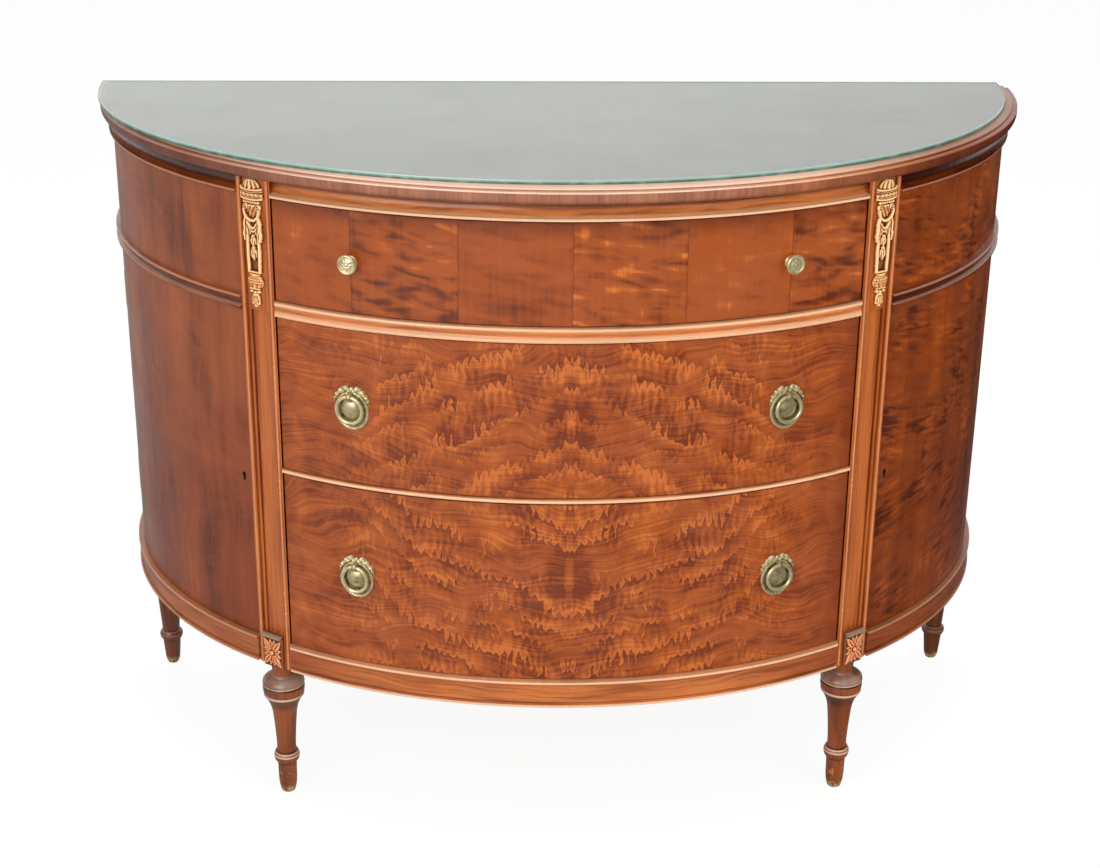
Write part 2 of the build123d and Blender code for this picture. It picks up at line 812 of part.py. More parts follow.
# Turned legs: a dowel, a neck, a domed bulb, a bead, a tapering shaft, a collar and a foot
neck_level = pilaster_bottom - leg_neck_height
dome_level = neck_level - leg_dome_height
bulb_level = dome_level - leg_bulb_height
ring_groove_level = (dome_level + bulb_level) / 2
shaft_level = bulb_level - leg_bead_height - leg_cove_height
collar_top = leg_collar_level + leg_collar_height
with BuildPart() as turned_leg:
    with BuildSketch(Plane.XZ):
        with BuildLine():
            dowel_top = pilaster_bottom + leg_dowel_length
            Line((0, dowel_top), (leg_dowel_radius, dowel_top))
            Line((leg_dowel_radius, dowel_top), (leg_dowel_radius, pilaster_bottom))
            Line((leg_dowel_radius, pilaster_bottom), (leg_neck_radius, pilaster_bottom))
            neck_middle = (leg_neck_waist, (pilaster_bottom + neck_level) / 2)
            ThreePointArc(
                (leg_neck_radius, pilaster_bottom), neck_middle, (leg_neck_radius, neck_level)
            )
            dome = EllipticalCenterArc(
                (leg_neck_radius, dome_level),
                leg_bulb_radius - leg_neck_radius,
                leg_dome_height,
                0,
                arc_size=90,
            )
            groove_radius = leg_bulb_radius - leg_groove_depth
            groove_foot = (leg_bulb_radius, ring_groove_level - leg_groove_depth)
            Line(dome @ 0, (groove_radius, ring_groove_level))
            Line((groove_radius, ring_groove_level), groove_foot)
            Line(groove_foot, (leg_bulb_foot_radius, bulb_level))
            Line((leg_bulb_foot_radius, bulb_level), (leg_bead_radius, bulb_level))
            bead_middle = bulb_level - leg_bead_height / 2
            bead_tip = (leg_bead_radius + leg_groove_depth, bead_middle)
            bead_end = (leg_bead_radius, bulb_level - leg_bead_height)
            ThreePointArc((leg_bead_radius, bulb_level), bead_tip, bead_end)
            cove_radius = (leg_bead_radius + 2 * leg_shaft_top_radius) / 3
            cove_middle = (cove_radius, shaft_level + leg_cove_height / 2)
            ThreePointArc(bead_end, cove_middle, (leg_shaft_top_radius, shaft_level))
            Line((leg_shaft_top_radius, shaft_level), (leg_shaft_foot_radius, collar_top))
            collar_middle = (leg_collar_radius, leg_collar_level + leg_collar_height / 2)
            collar_end = (leg_ankle_radius, leg_collar_level)
            ThreePointArc((leg_shaft_foot_radius, collar_top), collar_middle, collar_end)
            toe_start = (leg_toe_radius, leg_toe_height)
            Line(collar_end, toe_start)
            toe_end = (leg_foot_radius, 0)
            toe_middle_radius = (leg_toe_radius + leg_foot_radius) / 2 + leg_toe_bulge
            toe_middle = (toe_middle_radius, leg_toe_height / 2)
            ThreePointArc(toe_start, toe_middle, toe_end)
            Line(toe_end, (0, 0))
            Line((0, 0), (0, dowel_top))
        make_face()
    revolve(axis=Axis.Z)

leg_places = {
    "leg_front_left": (-leg_front_x, leg_front_y),
    "leg_front_right": (leg_front_x, leg_front_y),
    "leg_rear_left": (-leg_rear_x, back_y - leg_rear_depth),
    "leg_rear_right": (leg_rear_x, back_y - leg_rear_depth),
}
pieces = {}
for leg_name, leg_place in leg_places.items():
    with BuildPart() as leg:
        with Locations(leg_place):
            add(turned_leg.part)
    pieces[leg_name] = leg.part


# Doors, each with a pocket for its lock and a hole for its keyhole liner
keyhole_face = face_plane(keyhole_x, lock_level)


def keyhole_outline(wall):
    """A keyhole outline, widened all round by a wall."""
    Circle(keyhole_radius + wall)
    slot_height = keyhole_slot_length + wall
    with Locations((0, -slot_height / 2)):
        Rectangle(keyhole_slot_width + 2 * wall, slot_height)


def lock_box(reach, height, start=0.0):
    """A box outline in the plane of the lock, which starts at the door's edge."""
    with Locations(((start + reach) / 2, 0)):
        Rectangle(reach - start, height)


with BuildPart() as door_right:
    with BuildSketch(Plane.XY.offset(door_bottom)):
        side_band(0, -panel_thickness, door_edge_gap, door_rear_depth)
    extrude(amount=door_top - door_bottom)
    with BuildSketch(lock_plane.offset(-lock_seat_depth)):
        lock_box(lock_length + slip_gap, lock_height + 2 * slip_gap, -cut_overrun)
    extrude(amount=-cut_overrun, mode=Mode.SUBTRACT)
    with BuildSketch(keyhole_face.offset(cut_overrun)):
        keyhole_outline(keyhole_wall + bore_clearance)
    extrude(amount=-2 * cut_overrun, mode=Mode.SUBTRACT)
    cut_hinge_notches()
door_right.part.label = "door_right"
with BuildPart() as door_left:
    mirror(door_right.part, about=Plane.YZ)
door_left.part.label = "door_left"

with BuildPart() as keyhole_liner_right:
    with BuildSketch(keyhole_face):
        keyhole_outline(keyhole_wall)
    extrude(amount=-keyhole_depth)
    with BuildSketch(keyhole_face.offset(cut_overrun)):
        keyhole_outline(0)
    extrude(amount=-2 * cut_overrun, mode=Mode.SUBTRACT)
keyhole_liner_right.part.label = "keyhole_liner_right"
with BuildPart() as keyhole_liner_left:
    mirror(keyhole_liner_right.part, about=Plane.YZ)
keyhole_liner_left.part.label = "keyhole_liner_left"

# Locks, each with a channel for its bolt and a keyhole through its front wall
bolt_plane = lock_plane.offset(-bolt_sink)
bolt_end = bolt_set_in + bolt_length
with BuildPart() as lock_right:
    with BuildSketch(lock_plane.offset(-lock_seat_depth)):
        lock_box(lock_length, lock_height)
    extrude(amount=-lock_thickness)
    with BuildSketch(bolt_plane):
        lock_box(bolt_end + running_gap, bolt_height + 2 * running_gap, -cut_overrun)
    extrude(amount=bolt_thickness / 2 + running_gap, both=True, mode=Mode.SUBTRACT)
    with BuildSketch(keyhole_face.offset(-bolt_sink)):
        keyhole_outline(0)
    extrude(amount=bolt_sink, mode=Mode.SUBTRACT)
lock_right.part.label = "lock_right"
with BuildPart() as lock_left:
    mirror(lock_right.part, about=Plane.YZ)
lock_left.part.label = "lock_left"

with BuildPart() as lock_bolt_right:
    with BuildSketch(bolt_plane):
        lock_box(bolt_end, bolt_height, bolt_set_in)
    extrude(amount=bolt_thickness / 2, both=True)
lock_bolt_right.part.label = "lock_bolt_right"
with BuildPart() as lock_bolt_left:
    mirror(lock_bolt_right.part, about=Plane.YZ)
lock_bolt_left.part.label = "lock_bolt_left"

# Hinges: the post leaf holds the pin, and the door leaf turns on it
leaf_inner_x = hinge_face_x - hinge_leaf_width
leaf_outer_x = hinge_x - hinge_notch_radius
outer_knuckle_height = (hinge_height - hinge_middle_height) / 2


def hinge_plate(level, height, inner_x, outer_x, front_y, rear_y):
    """An upright plate of a hinge leaf."""
    with Locations(((inner_x + outer_x) / 2, (front_y + rear_y) / 2, level + height / 2)):
        Box(outer_x - inner_x, rear_y - front_y, height)


with BuildPart() as post_leaves_right:
    rear_y = back_y - post_depth
    front_y = rear_y - hinge_leaf_thickness
    for level in hinge_levels:
        middle = level + outer_knuckle_height
        hinge_plate(level, hinge_height, leaf_inner_x, leaf_outer_x, front_y, rear_y)
        hinge_plate(middle, hinge_middle_height, leaf_inner_x, hinge_x, front_y, rear_y)
        hinge_barrel(middle, hinge_middle_height, hinge_knuckle_radius)
        head_level = level - pin_reach
        hinge_barrel(head_level, hinge_height + 2 * pin_reach, hinge_pin_radius)
        hinge_barrel(head_level, hinge_head_height, hinge_head_radius)
        top_head_level = level + hinge_height + running_gap
        hinge_barrel(top_head_level, hinge_head_height, hinge_head_radius)
with BuildPart() as hinge_post_leaves:
    add(post_leaves_right.part)
    mirror(post_leaves_right.part, about=Plane.YZ)
hinge_post_leaves.part.label = "hinge_post_leaves"

with BuildPart() as hinge_door_leaves_right:
    front_y = back_y - door_rear_depth
    rear_y = front_y + hinge_leaf_thickness
    for level in hinge_levels:
        hinge_plate(level, hinge_height, leaf_inner_x, leaf_outer_x, front_y, rear_y)
        tab_height = outer_knuckle_height - running_gap
        top_tab = level + outer_knuckle_height + hinge_middle_height + running_gap
        for tab_level in (level, top_tab):
            hinge_plate(tab_level, tab_height, leaf_inner_x, hinge_x, front_y, rear_y)
            hinge_barrel(tab_level, tab_height, hinge_knuckle_radius)
        bore = hinge_pin_radius + bore_clearance
        hinge_barrel(level, hinge_height, bore, mode=Mode.SUBTRACT)
hinge_door_leaves_right.part.label = "hinge_door_leaves_right"
with BuildPart() as hinge_door_leaves_left:
    mirror(hinge_door_leaves_right.part, about=Plane.YZ)
hinge_door_leaves_left.part.label = "hinge_door_leaves_left"

# Drawers: a bowed front, two sides, a back, and a bottom held in grooves
drawer_half_width = opening_half_width - drawer_side_clearance
inner_half_width = drawer_half_width - drawer_side_thickness
groove_half_width = inner_half_width + drawer_groove_depth
drawer_rear_y = back_y - drawer_back_depth
groove_proud = drawer_groove_depth - drawer_front_thickness


def drawer_front(floor_level, ceiling_level, holes, hole_level):
    """A bowed drawer front with a groove for its bottom and holes for its handles."""
    with BuildPart() as front:
        with BuildSketch(Plane.XY.offset(floor_level + side_gap)):
            front_band(0, -drawer_front_thickness, opening_half_width - side_gap)
        extrude(amount=ceiling_level - reveal - floor_level - side_gap)
        groove_level = floor_level + drawer_bottom_lift - slip_gap
        with BuildSketch(Plane.XY.offset(groove_level)):
            bow_face(groove_proud)
            keep_between(-groove_half_width, groove_half_width, -top_depth, drawer_rear_y)
        extrude(amount=drawer_bottom_thickness + 2 * slip_gap, mode=Mode.SUBTRACT)
        for hole_x in holes:
            with BuildSketch(face_plane(hole_x, hole_level, cut_overrun)):
                Circle(stud_radius + bore_clearance)
            extrude(amount=-3 * cut_overrun, mode=Mode.SUBTRACT)
    return front.part


def drawer_sides(floor_level, ceiling_level):
    """The two sides of a drawer, grooved for its bottom."""
    with BuildPart() as sides:
        with BuildSketch(Plane.XY.offset(floor_level + running_gap)):
            bow_face(-drawer_front_thickness)
            keep_between(inner_half_width, drawer_half_width, -top_depth, drawer_rear_y)
        extrude(amount=ceiling_level - drawer_side_drop - floor_level - running_gap)
        groove_level = floor_level + drawer_bottom_lift - slip_gap
        with BuildSketch(Plane.XY.offset(groove_level)):
            bow_face(-drawer_front_thickness)
            keep_between(0, groove_half_width, -top_depth, drawer_rear_y)
        extrude(amount=drawer_bottom_thickness + 2 * slip_gap, mode=Mode.SUBTRACT)
        mirror(about=Plane.YZ)
    return sides.part


def drawer_back(floor_level, ceiling_level):
    """The back of a drawer, standing on its bottom."""
    back_bottom = floor_level + drawer_bottom_lift + drawer_bottom_thickness
    with BuildPart() as rear:
        with BuildSketch(Plane.XY.offset(back_bottom)):
            with Locations((0, drawer_rear_y - drawer_back_thickness / 2)):
                Rectangle(2 * inner_half_width, drawer_back_thickness)
        extrude(amount=ceiling_level - drawer_side_drop - back_bottom)
    return rear.part


def drawer_bottom(floor_level):
    """The bottom of a drawer, with its edges in the grooves."""
    half_width = groove_half_width - slip_gap
    with BuildPart() as bottom:
        with BuildSketch(Plane.XY.offset(floor_level + drawer_bottom_lift)):
            bow_face(groove_proud - slip_gap)
            keep_between(-half_width, half_width, -top_depth, drawer_rear_y)
        extrude(amount=drawer_bottom_thickness)
    return bottom.part


knob_level = (belt_top + cornice_bottom) / 2
pull_upper_level = (divider_top + belt_bottom) / 2 - pull_lowering
pull_lower_level = (base_top + divider_bottom) / 2 - pull_lowering
drawer_bays = (
    ("drawer_1", belt_top, cornice_bottom, knob_x, knob_level),
    ("drawer_2", divider_top, belt_bottom, pull_x, pull_upper_level),
    ("drawer_3", base_top, divider_bottom, pull_x, pull_lower_level),
)
for bay_name, floor_level, ceiling_level, handle_x, handle_level in drawer_bays:
    handle_places = (-handle_x, handle_x)
    front_name = bay_name + "_front"
    pieces[front_name] = drawer_front(floor_level, ceiling_level, handle_places, handle_level)
    pieces[bay_name + "_sides"] = drawer_sides(floor_level, ceiling_level)
    pieces[bay_name + "_back"] = drawer_back(floor_level, ceiling_level)
    pieces[bay_name + "_bottom"] = drawer_bottom(floor_level)

# Knobs: a rose, a neck and a turned head on a stud, with a nut inside the drawer
nut_start = -drawer_front_thickness - slip_gap
with BuildPart() as knob:
    with BuildSketch(Plane.XY):
        Circle(knob_rose_radius)
    extrude(amount=knob_rose_height)
    fillet(knob.edges().sort_by(Axis.Z)[-1], radius=knob_rose_round)
    with BuildSketch(Plane.XY.offset(knob_rose_height)):
        Circle(knob_neck_radius)
    extrude(amount=knob_neck_height)
    with BuildSketch(Plane.XY.offset(knob_rose_height + knob_neck_height)):
        Circle(knob_head_radius)
    extrude(amount=knob_head_height)
    fillet(knob.edges().sort_by(Axis.Z)[-1], radius=knob_head_round)
    head_level = knob_rose_height + knob_neck_height
    head_rim = knob.edges().filter_by_position(Axis.Z, head_level, head_level)
    fillet(head_rim.sort_by(SortBy.RADIUS)[-1], radius=knob_head_bottom_round)
    with BuildSketch(Plane.XY):
        Circle(stud_radius)
    extrude(amount=nut_start - stud_nut_height - stud_tip)
    with BuildSketch(Plane.XY.offset(nut_start)):
        Circle(stud_nut_radius)
    extrude(amount=-stud_nut_height)

# Pull plates: an oval with a raised rim, a domed boss, a garland above, and a lug for the ring
bar_level = sqrt(ring_radius**2 - (ring_bar_length / 2) ** 2) + ring_lift
with BuildPart() as pull_plate:
    with BuildSketch(Plane.XY):
        Ellipse(plate_width / 2, plate_height / 2)
    extrude(amount=plate_thickness + plate_rim_height)
    rim_edges = pull_plate.edges().sort_by(Axis.Z)[-1:]
    fillet(rim_edges, radius=plate_rim_round)
    with BuildSketch(Plane.XY.offset(plate_thickness)):
        Ellipse(plate_width / 2 - plate_rim_width, plate_height / 2 - plate_rim_width)
    extrude(amount=2 * plate_rim_height, mode=Mode.SUBTRACT)
    with BuildSketch(Plane.XY.offset(plate_thickness)):
        with Locations((0, ring_lift)):
            Circle(boss_radius)
    extrude(amount=boss_height)
    fillet(pull_plate.edges().sort_by(Axis.Z)[-1], radius=boss_round)
    half_width = plate_width / 2
    half_height = plate_height / 2
    with BuildSketch(Plane.XY):
        Ellipse(half_width + garland_stem_reach, half_height + garland_stem_reach)
        garland_start = half_height * garland_leaf_shares[-1][1]
        with Locations((0, garland_start - plate_height)):
            Rectangle(2 * plate_width, 2 * plate_height, mode=Mode.SUBTRACT)
        with Locations((0, half_height * garland_knot_share)):
            Circle(garland_knot_radius)
        for across_share, up_share in garland_leaf_shares:
            leaf_x = half_width * across_share
            leaf_level = half_height * up_share
            with Locations((-leaf_x, leaf_level), (leaf_x, leaf_level)):
                Circle(garland_leaf_radius)
    extrude(amount=garland_thickness)
    with BuildSketch(Plane.YZ):
        lug_radius = ring_wire_radius + bore_clearance + lug_wall
        with Locations((bar_level, ring_stand_off)):
            Circle(lug_radius)
        with Locations((bar_level, ring_stand_off / 2)):
            Rectangle(2 * lug_radius, ring_stand_off)
    extrude(amount=lug_width / 2, both=True)
    with BuildSketch(Plane.YZ):
        with Locations((bar_level, ring_stand_off)):
            Circle(ring_wire_radius + bore_clearance)
    extrude(amount=lug_width, both=True, mode=Mode.SUBTRACT)
    with BuildSketch(Plane.XY):
        Circle(stud_radius)
    extrude(amount=nut_start - stud_nut_height - stud_tip)
    with BuildSketch(Plane.XY.offset(nut_start)):
        Circle(stud_nut_radius)
    extrude(amount=-stud_nut_height)

# Ring of a pull: an open arc closed by a straight bar that turns in the lug
with BuildPart() as pull_ring:
    half_bar = ring_bar_length / 2
    with BuildLine() as ring_path:
        arc_start = (half_bar, bar_level, ring_stand_off)
        arc_middle = (0, ring_lift - ring_radius, ring_stand_off)
        arc_end = (-half_bar, bar_level, ring_stand_off)
        ThreePointArc(arc_start, arc_middle, arc_end)
    with BuildSketch(Plane(origin=ring_path.line @ 0, z_dir=ring_path.line % 0)):
        Circle(ring_wire_radius)
    sweep(path=ring_path.line)
    with BuildSketch(Plane.YZ.offset(-half_bar)):
        with Locations((bar_level, ring_stand_off)):
            Circle(ring_wire_radius)
    extrude(amount=ring_bar_length)
    with Locations(arc_start, arc_end):
        Sphere(ring_wire_radius)

with BuildPart() as drawer_1_knobs:
    with Locations(face_plane(-knob_x, knob_level), face_plane(knob_x, knob_level)):
        add(knob.part)
pieces["drawer_1_knobs"] = drawer_1_knobs.part
for bay_name, level in (("drawer_2", pull_upper_level), ("drawer_3", pull_lower_level)):
    left_face = face_plane(-pull_x, level)
    right_face = face_plane(pull_x, level)
    with BuildPart() as plates:
        with Locations(left_face, right_face):
            add(pull_plate.part)
    pieces[bay_name + "_pull_plates"] = plates.part
    for side_name, side_face in (("left", left_face), ("right", right_face)):
        with BuildPart() as hung_ring:
            with Locations(side_face):
                add(pull_ring.part)
        pieces[bay_name + "_ring_" + side_name] = hung_ring.part
for piece_name, piece in pieces.items():
    piece.label = piece_name

os.makedirs("parts", exist_ok=True)
export_step(top_board.part, "parts/top_board.step")
export_step(glass_top.part, "parts/glass_top.step")
export_step(cornice_mouldings.part, "parts/cornice_mouldings.step")
export_step(frieze_left.part, "parts/frieze_left.step")
export_step(frieze_right.part, "parts/frieze_right.step")
export_step(belt_mouldings.part, "parts/belt_mouldings.step")
export_step(pilaster_left.part, "parts/pilaster_left.step")
export_step(pilaster_right.part, "parts/pilaster_right.step")
export_step(carved_drops.part, "parts/carved_drops.step")
export_step(rosette_blocks.part, "parts/rosette_blocks.step")
export_step(mid_rail.part, "parts/mid_rail.step")
export_step(divider_rail.part, "parts/divider_rail.step")
export_step(base_front_rail.part, "parts/base_front_rail.step")
export_step(base_side_rails.part, "parts/base_side_rails.step")
export_step(bottom_board.part, "parts/bottom_board.step")
export_step(partition_left.part, "parts/partition_left.step")
export_step(partition_right.part, "parts/partition_right.step")
export_step(rear_post_left.part, "parts/rear_post_left.step")
export_step(rear_post_right.part, "parts/rear_post_right.step")
export_step(back_panel.part, "parts/back_panel.step")
export_step(shelf_left.part, "parts/shelf_left.step")
export_step(shelf_right.part, "parts/shelf_right.step")
export_step(shelf_cleats.part, "parts/shelf_cleats.step")
export_step(drawer_runners.part, "parts/drawer_runners.step")
export_step(drawer_stops.part, "parts/drawer_stops.step")
export_step(hinge_post_leaves.part, "parts/hinge_post_leaves.step")
export_step(door_left.part, "parts/door_left.step")
export_step(door_right.part, "parts/door_right.step")
export_step(lock_left.part, "parts/lock_left.step")
export_step(lock_right.part, "parts/lock_right.step")
export_step(keyhole_liner_left.part, "parts/keyhole_liner_left.step")
export_step(keyhole_liner_right.part, "parts/keyhole_liner_right.step")
export_step(hinge_door_leaves_left.part, "parts/hinge_door_leaves_left.step")
export_step(hinge_door_leaves_right.part, "parts/hinge_door_leaves_right.step")
export_step(lock_bolt_left.part, "parts/lock_bolt_left.step")
export_step(lock_bolt_right.part, "parts/lock_bolt_right.step")
for piece_name, piece in pieces.items():
    export_step(piece, "parts/" + piece_name + ".step")
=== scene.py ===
"""Looks of a half-moon console cabinet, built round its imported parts, in metres."""

import logging
import math
from collections.abc import Callable, Iterable, Sequence
from dataclasses import dataclass, field
from enum import Enum

import bpy
import numpy as np
from mathutils import Matrix, Vector


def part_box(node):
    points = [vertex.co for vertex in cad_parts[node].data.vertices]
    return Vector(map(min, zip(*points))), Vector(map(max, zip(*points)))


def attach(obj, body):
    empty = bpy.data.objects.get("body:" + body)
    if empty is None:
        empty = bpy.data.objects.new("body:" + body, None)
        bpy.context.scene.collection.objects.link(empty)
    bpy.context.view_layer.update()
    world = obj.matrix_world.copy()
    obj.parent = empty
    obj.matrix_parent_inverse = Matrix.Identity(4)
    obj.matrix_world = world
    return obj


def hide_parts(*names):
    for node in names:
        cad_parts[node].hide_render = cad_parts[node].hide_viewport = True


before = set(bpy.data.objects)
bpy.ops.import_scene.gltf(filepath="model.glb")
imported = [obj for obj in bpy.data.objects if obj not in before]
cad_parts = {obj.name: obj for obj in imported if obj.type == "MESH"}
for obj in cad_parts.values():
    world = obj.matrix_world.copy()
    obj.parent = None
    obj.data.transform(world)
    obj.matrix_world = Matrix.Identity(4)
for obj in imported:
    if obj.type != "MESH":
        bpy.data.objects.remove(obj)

log = logging.getLogger("cabinet")
MM = 0.001
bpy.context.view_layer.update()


def low_corner(node: str) -> Vector:
    """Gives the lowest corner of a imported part, in millimetres."""
    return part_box(node)[0] / MM


def high_corner(node: str) -> Vector:
    """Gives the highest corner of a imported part, in millimetres."""
    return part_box(node)[1] / MM


# The case's shape


@dataclass(frozen=True)
class BowedCase:
    """The half-moon outline of the case, in millimetres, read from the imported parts."""

    pilaster_width: float = 42.0
    pilaster_proud: float = 2.0
    half_width: float = high_corner("rear_post_right").x
    back: float = high_corner("top_board").y
    front_middle: float = low_corner("drawer_2_front").y
    opening_half_width: float = low_corner("pilaster_right").x
    pilaster_bottom: float = low_corner("pilaster_right").z
    base_bottom: float = low_corner("base_side_rails").z
    base_top: float = high_corner("base_side_rails").z
    belt_bottom: float = low_corner("belt_mouldings").z
    belt_top: float = high_corner("belt_mouldings").z
    divider_bottom: float = low_corner("divider_rail").z
    divider_top: float = high_corner("divider_rail").z
    cornice_bottom: float = low_corner("cornice_mouldings").z
    top_bottom: float = low_corner("top_board").z
    top_height: float = high_corner("top_board").z

    @property
    def depth(self) -> float:
        """Gives the depth of the half-moon."""
        return self.back - self.front_middle

    @property
    def pilaster_outer(self) -> float:
        """Gives the x of the pilaster's outer edge."""
        return self.opening_half_width + self.pilaster_width

    @property
    def divider_middle(self) -> float:
        """Gives the middle level of the thin rail between the deep drawers."""
        return (self.divider_bottom + self.divider_top) / 2

    def front(self, x: float, proud: float = 0.0) -> float:
        """Gives the y of an outline at x.

        Args:
            x: Place across the case.
            proud: How far the outline stands in front of the body.

        Returns:
            The y of the outline there.
        """
        share = x / (self.half_width + proud)
        return self.back - (self.depth + proud) * math.sqrt(1.0 - share * share)

    def normal(self, x: float) -> Vector:
        """Gives the outward direction of the bowed face at x."""
        slope = (self.front(x) - self.back) / self.depth**2
        return Vector((x / self.half_width**2, slope, 0.0)).normalized()

    def face_matrix(self, x: float, level: float) -> Matrix:
        """Gives a frame on the bowed face, with Y up and Z outward.

        Args:
            x: Place across the case.
            level: Height above the floor.

        Returns:
            A matrix that takes local millimetres to millimetres of the case.
        """
        out = self.normal(x)
        along = Vector((-out.y, out.x, 0.0))
        return frame_matrix(Vector((x, self.front(x), level)), along, out)

    def pilaster_matrix(self, level: float) -> Matrix:
        """Gives a frame on the right pilaster's flat face at a height."""
        start, end = self.pilaster_corners()
        along = (end - start).normalized()
        middle = (start + end) / 2
        return frame_matrix(
            Vector((middle.x, middle.y, level)), along, along.cross(Vector((0, 0, 1)))
        )

    def pilaster_corners(self) -> tuple[Vector, Vector]:
        """Gives the two corners of the right pilaster's face, in plan."""
        inner = self.opening_half_width
        outer = self.pilaster_outer
        start = Vector((inner, self.front(inner, self.pilaster_proud), 0.0))
        end = Vector((outer, self.front(outer), 0.0))
        return start, end + self.normal(outer) * self.pilaster_proud


def frame_matrix(origin: Vector, along: Vector, out: Vector) -> Matrix:
    """Builds a matrix from an origin, a level direction and an outward one.

    Args:
        origin: Where the frame stands.
        along: Its X direction.
        out: Its Z direction; Y is upright.

    Returns:
        The matrix of that frame.
    """
    up = Vector((0.0, 0.0, 1.0))
    turn = Matrix((along, up, out)).transposed().to_4x4()
    return Matrix.Translation(origin) @ turn


CASE = BowedCase()
TINY = 1e-6


# Node helpers


def tone(red: float, green: float, blue: float) -> tuple[float, float, float, float]:
    """Turns a colour as seen on a screen, 0 to 255, into a linear one."""

    def linear(value: float) -> float:
        """Gives one linear channel."""
        share = value / 255.0
        return share / 12.92 if share <= 0.04045 else ((share + 0.055) / 1.055) ** 2.4

    return (linear(red), linear(green), linear(blue), 1.0)


@dataclass(frozen=True, eq=False)
class Value:
    """An output of a node that stands in sums like a plain number."""

    graph: "Graph"
    socket: bpy.types.NodeSocket

    def __add__(self, other: object) -> "Value":
        """Adds."""
        return self.graph.math("ADD", self, other)

    def __sub__(self, other: object) -> "Value":
        """Takes away."""
        return self.graph.math("SUBTRACT", self, other)

    def __rsub__(self, other: object) -> "Value":
        """Takes this value away from a number."""
        return self.graph.math("SUBTRACT", other, self)

    def __mul__(self, other: object) -> "Value":
        """Multiplies."""
        return self.graph.math("MULTIPLY", self, other)

    def __truediv__(self, other: object) -> "Value":
        """Divides."""
        return self.graph.math("DIVIDE", self, other)

    def __pow__(self, other: object) -> "Value":
        """Raises to a power."""
        return self.graph.math("POWER", self, other)

    def __abs__(self) -> "Value":
        """Drops the sign."""
        return self.graph.math("ABSOLUTE", self)


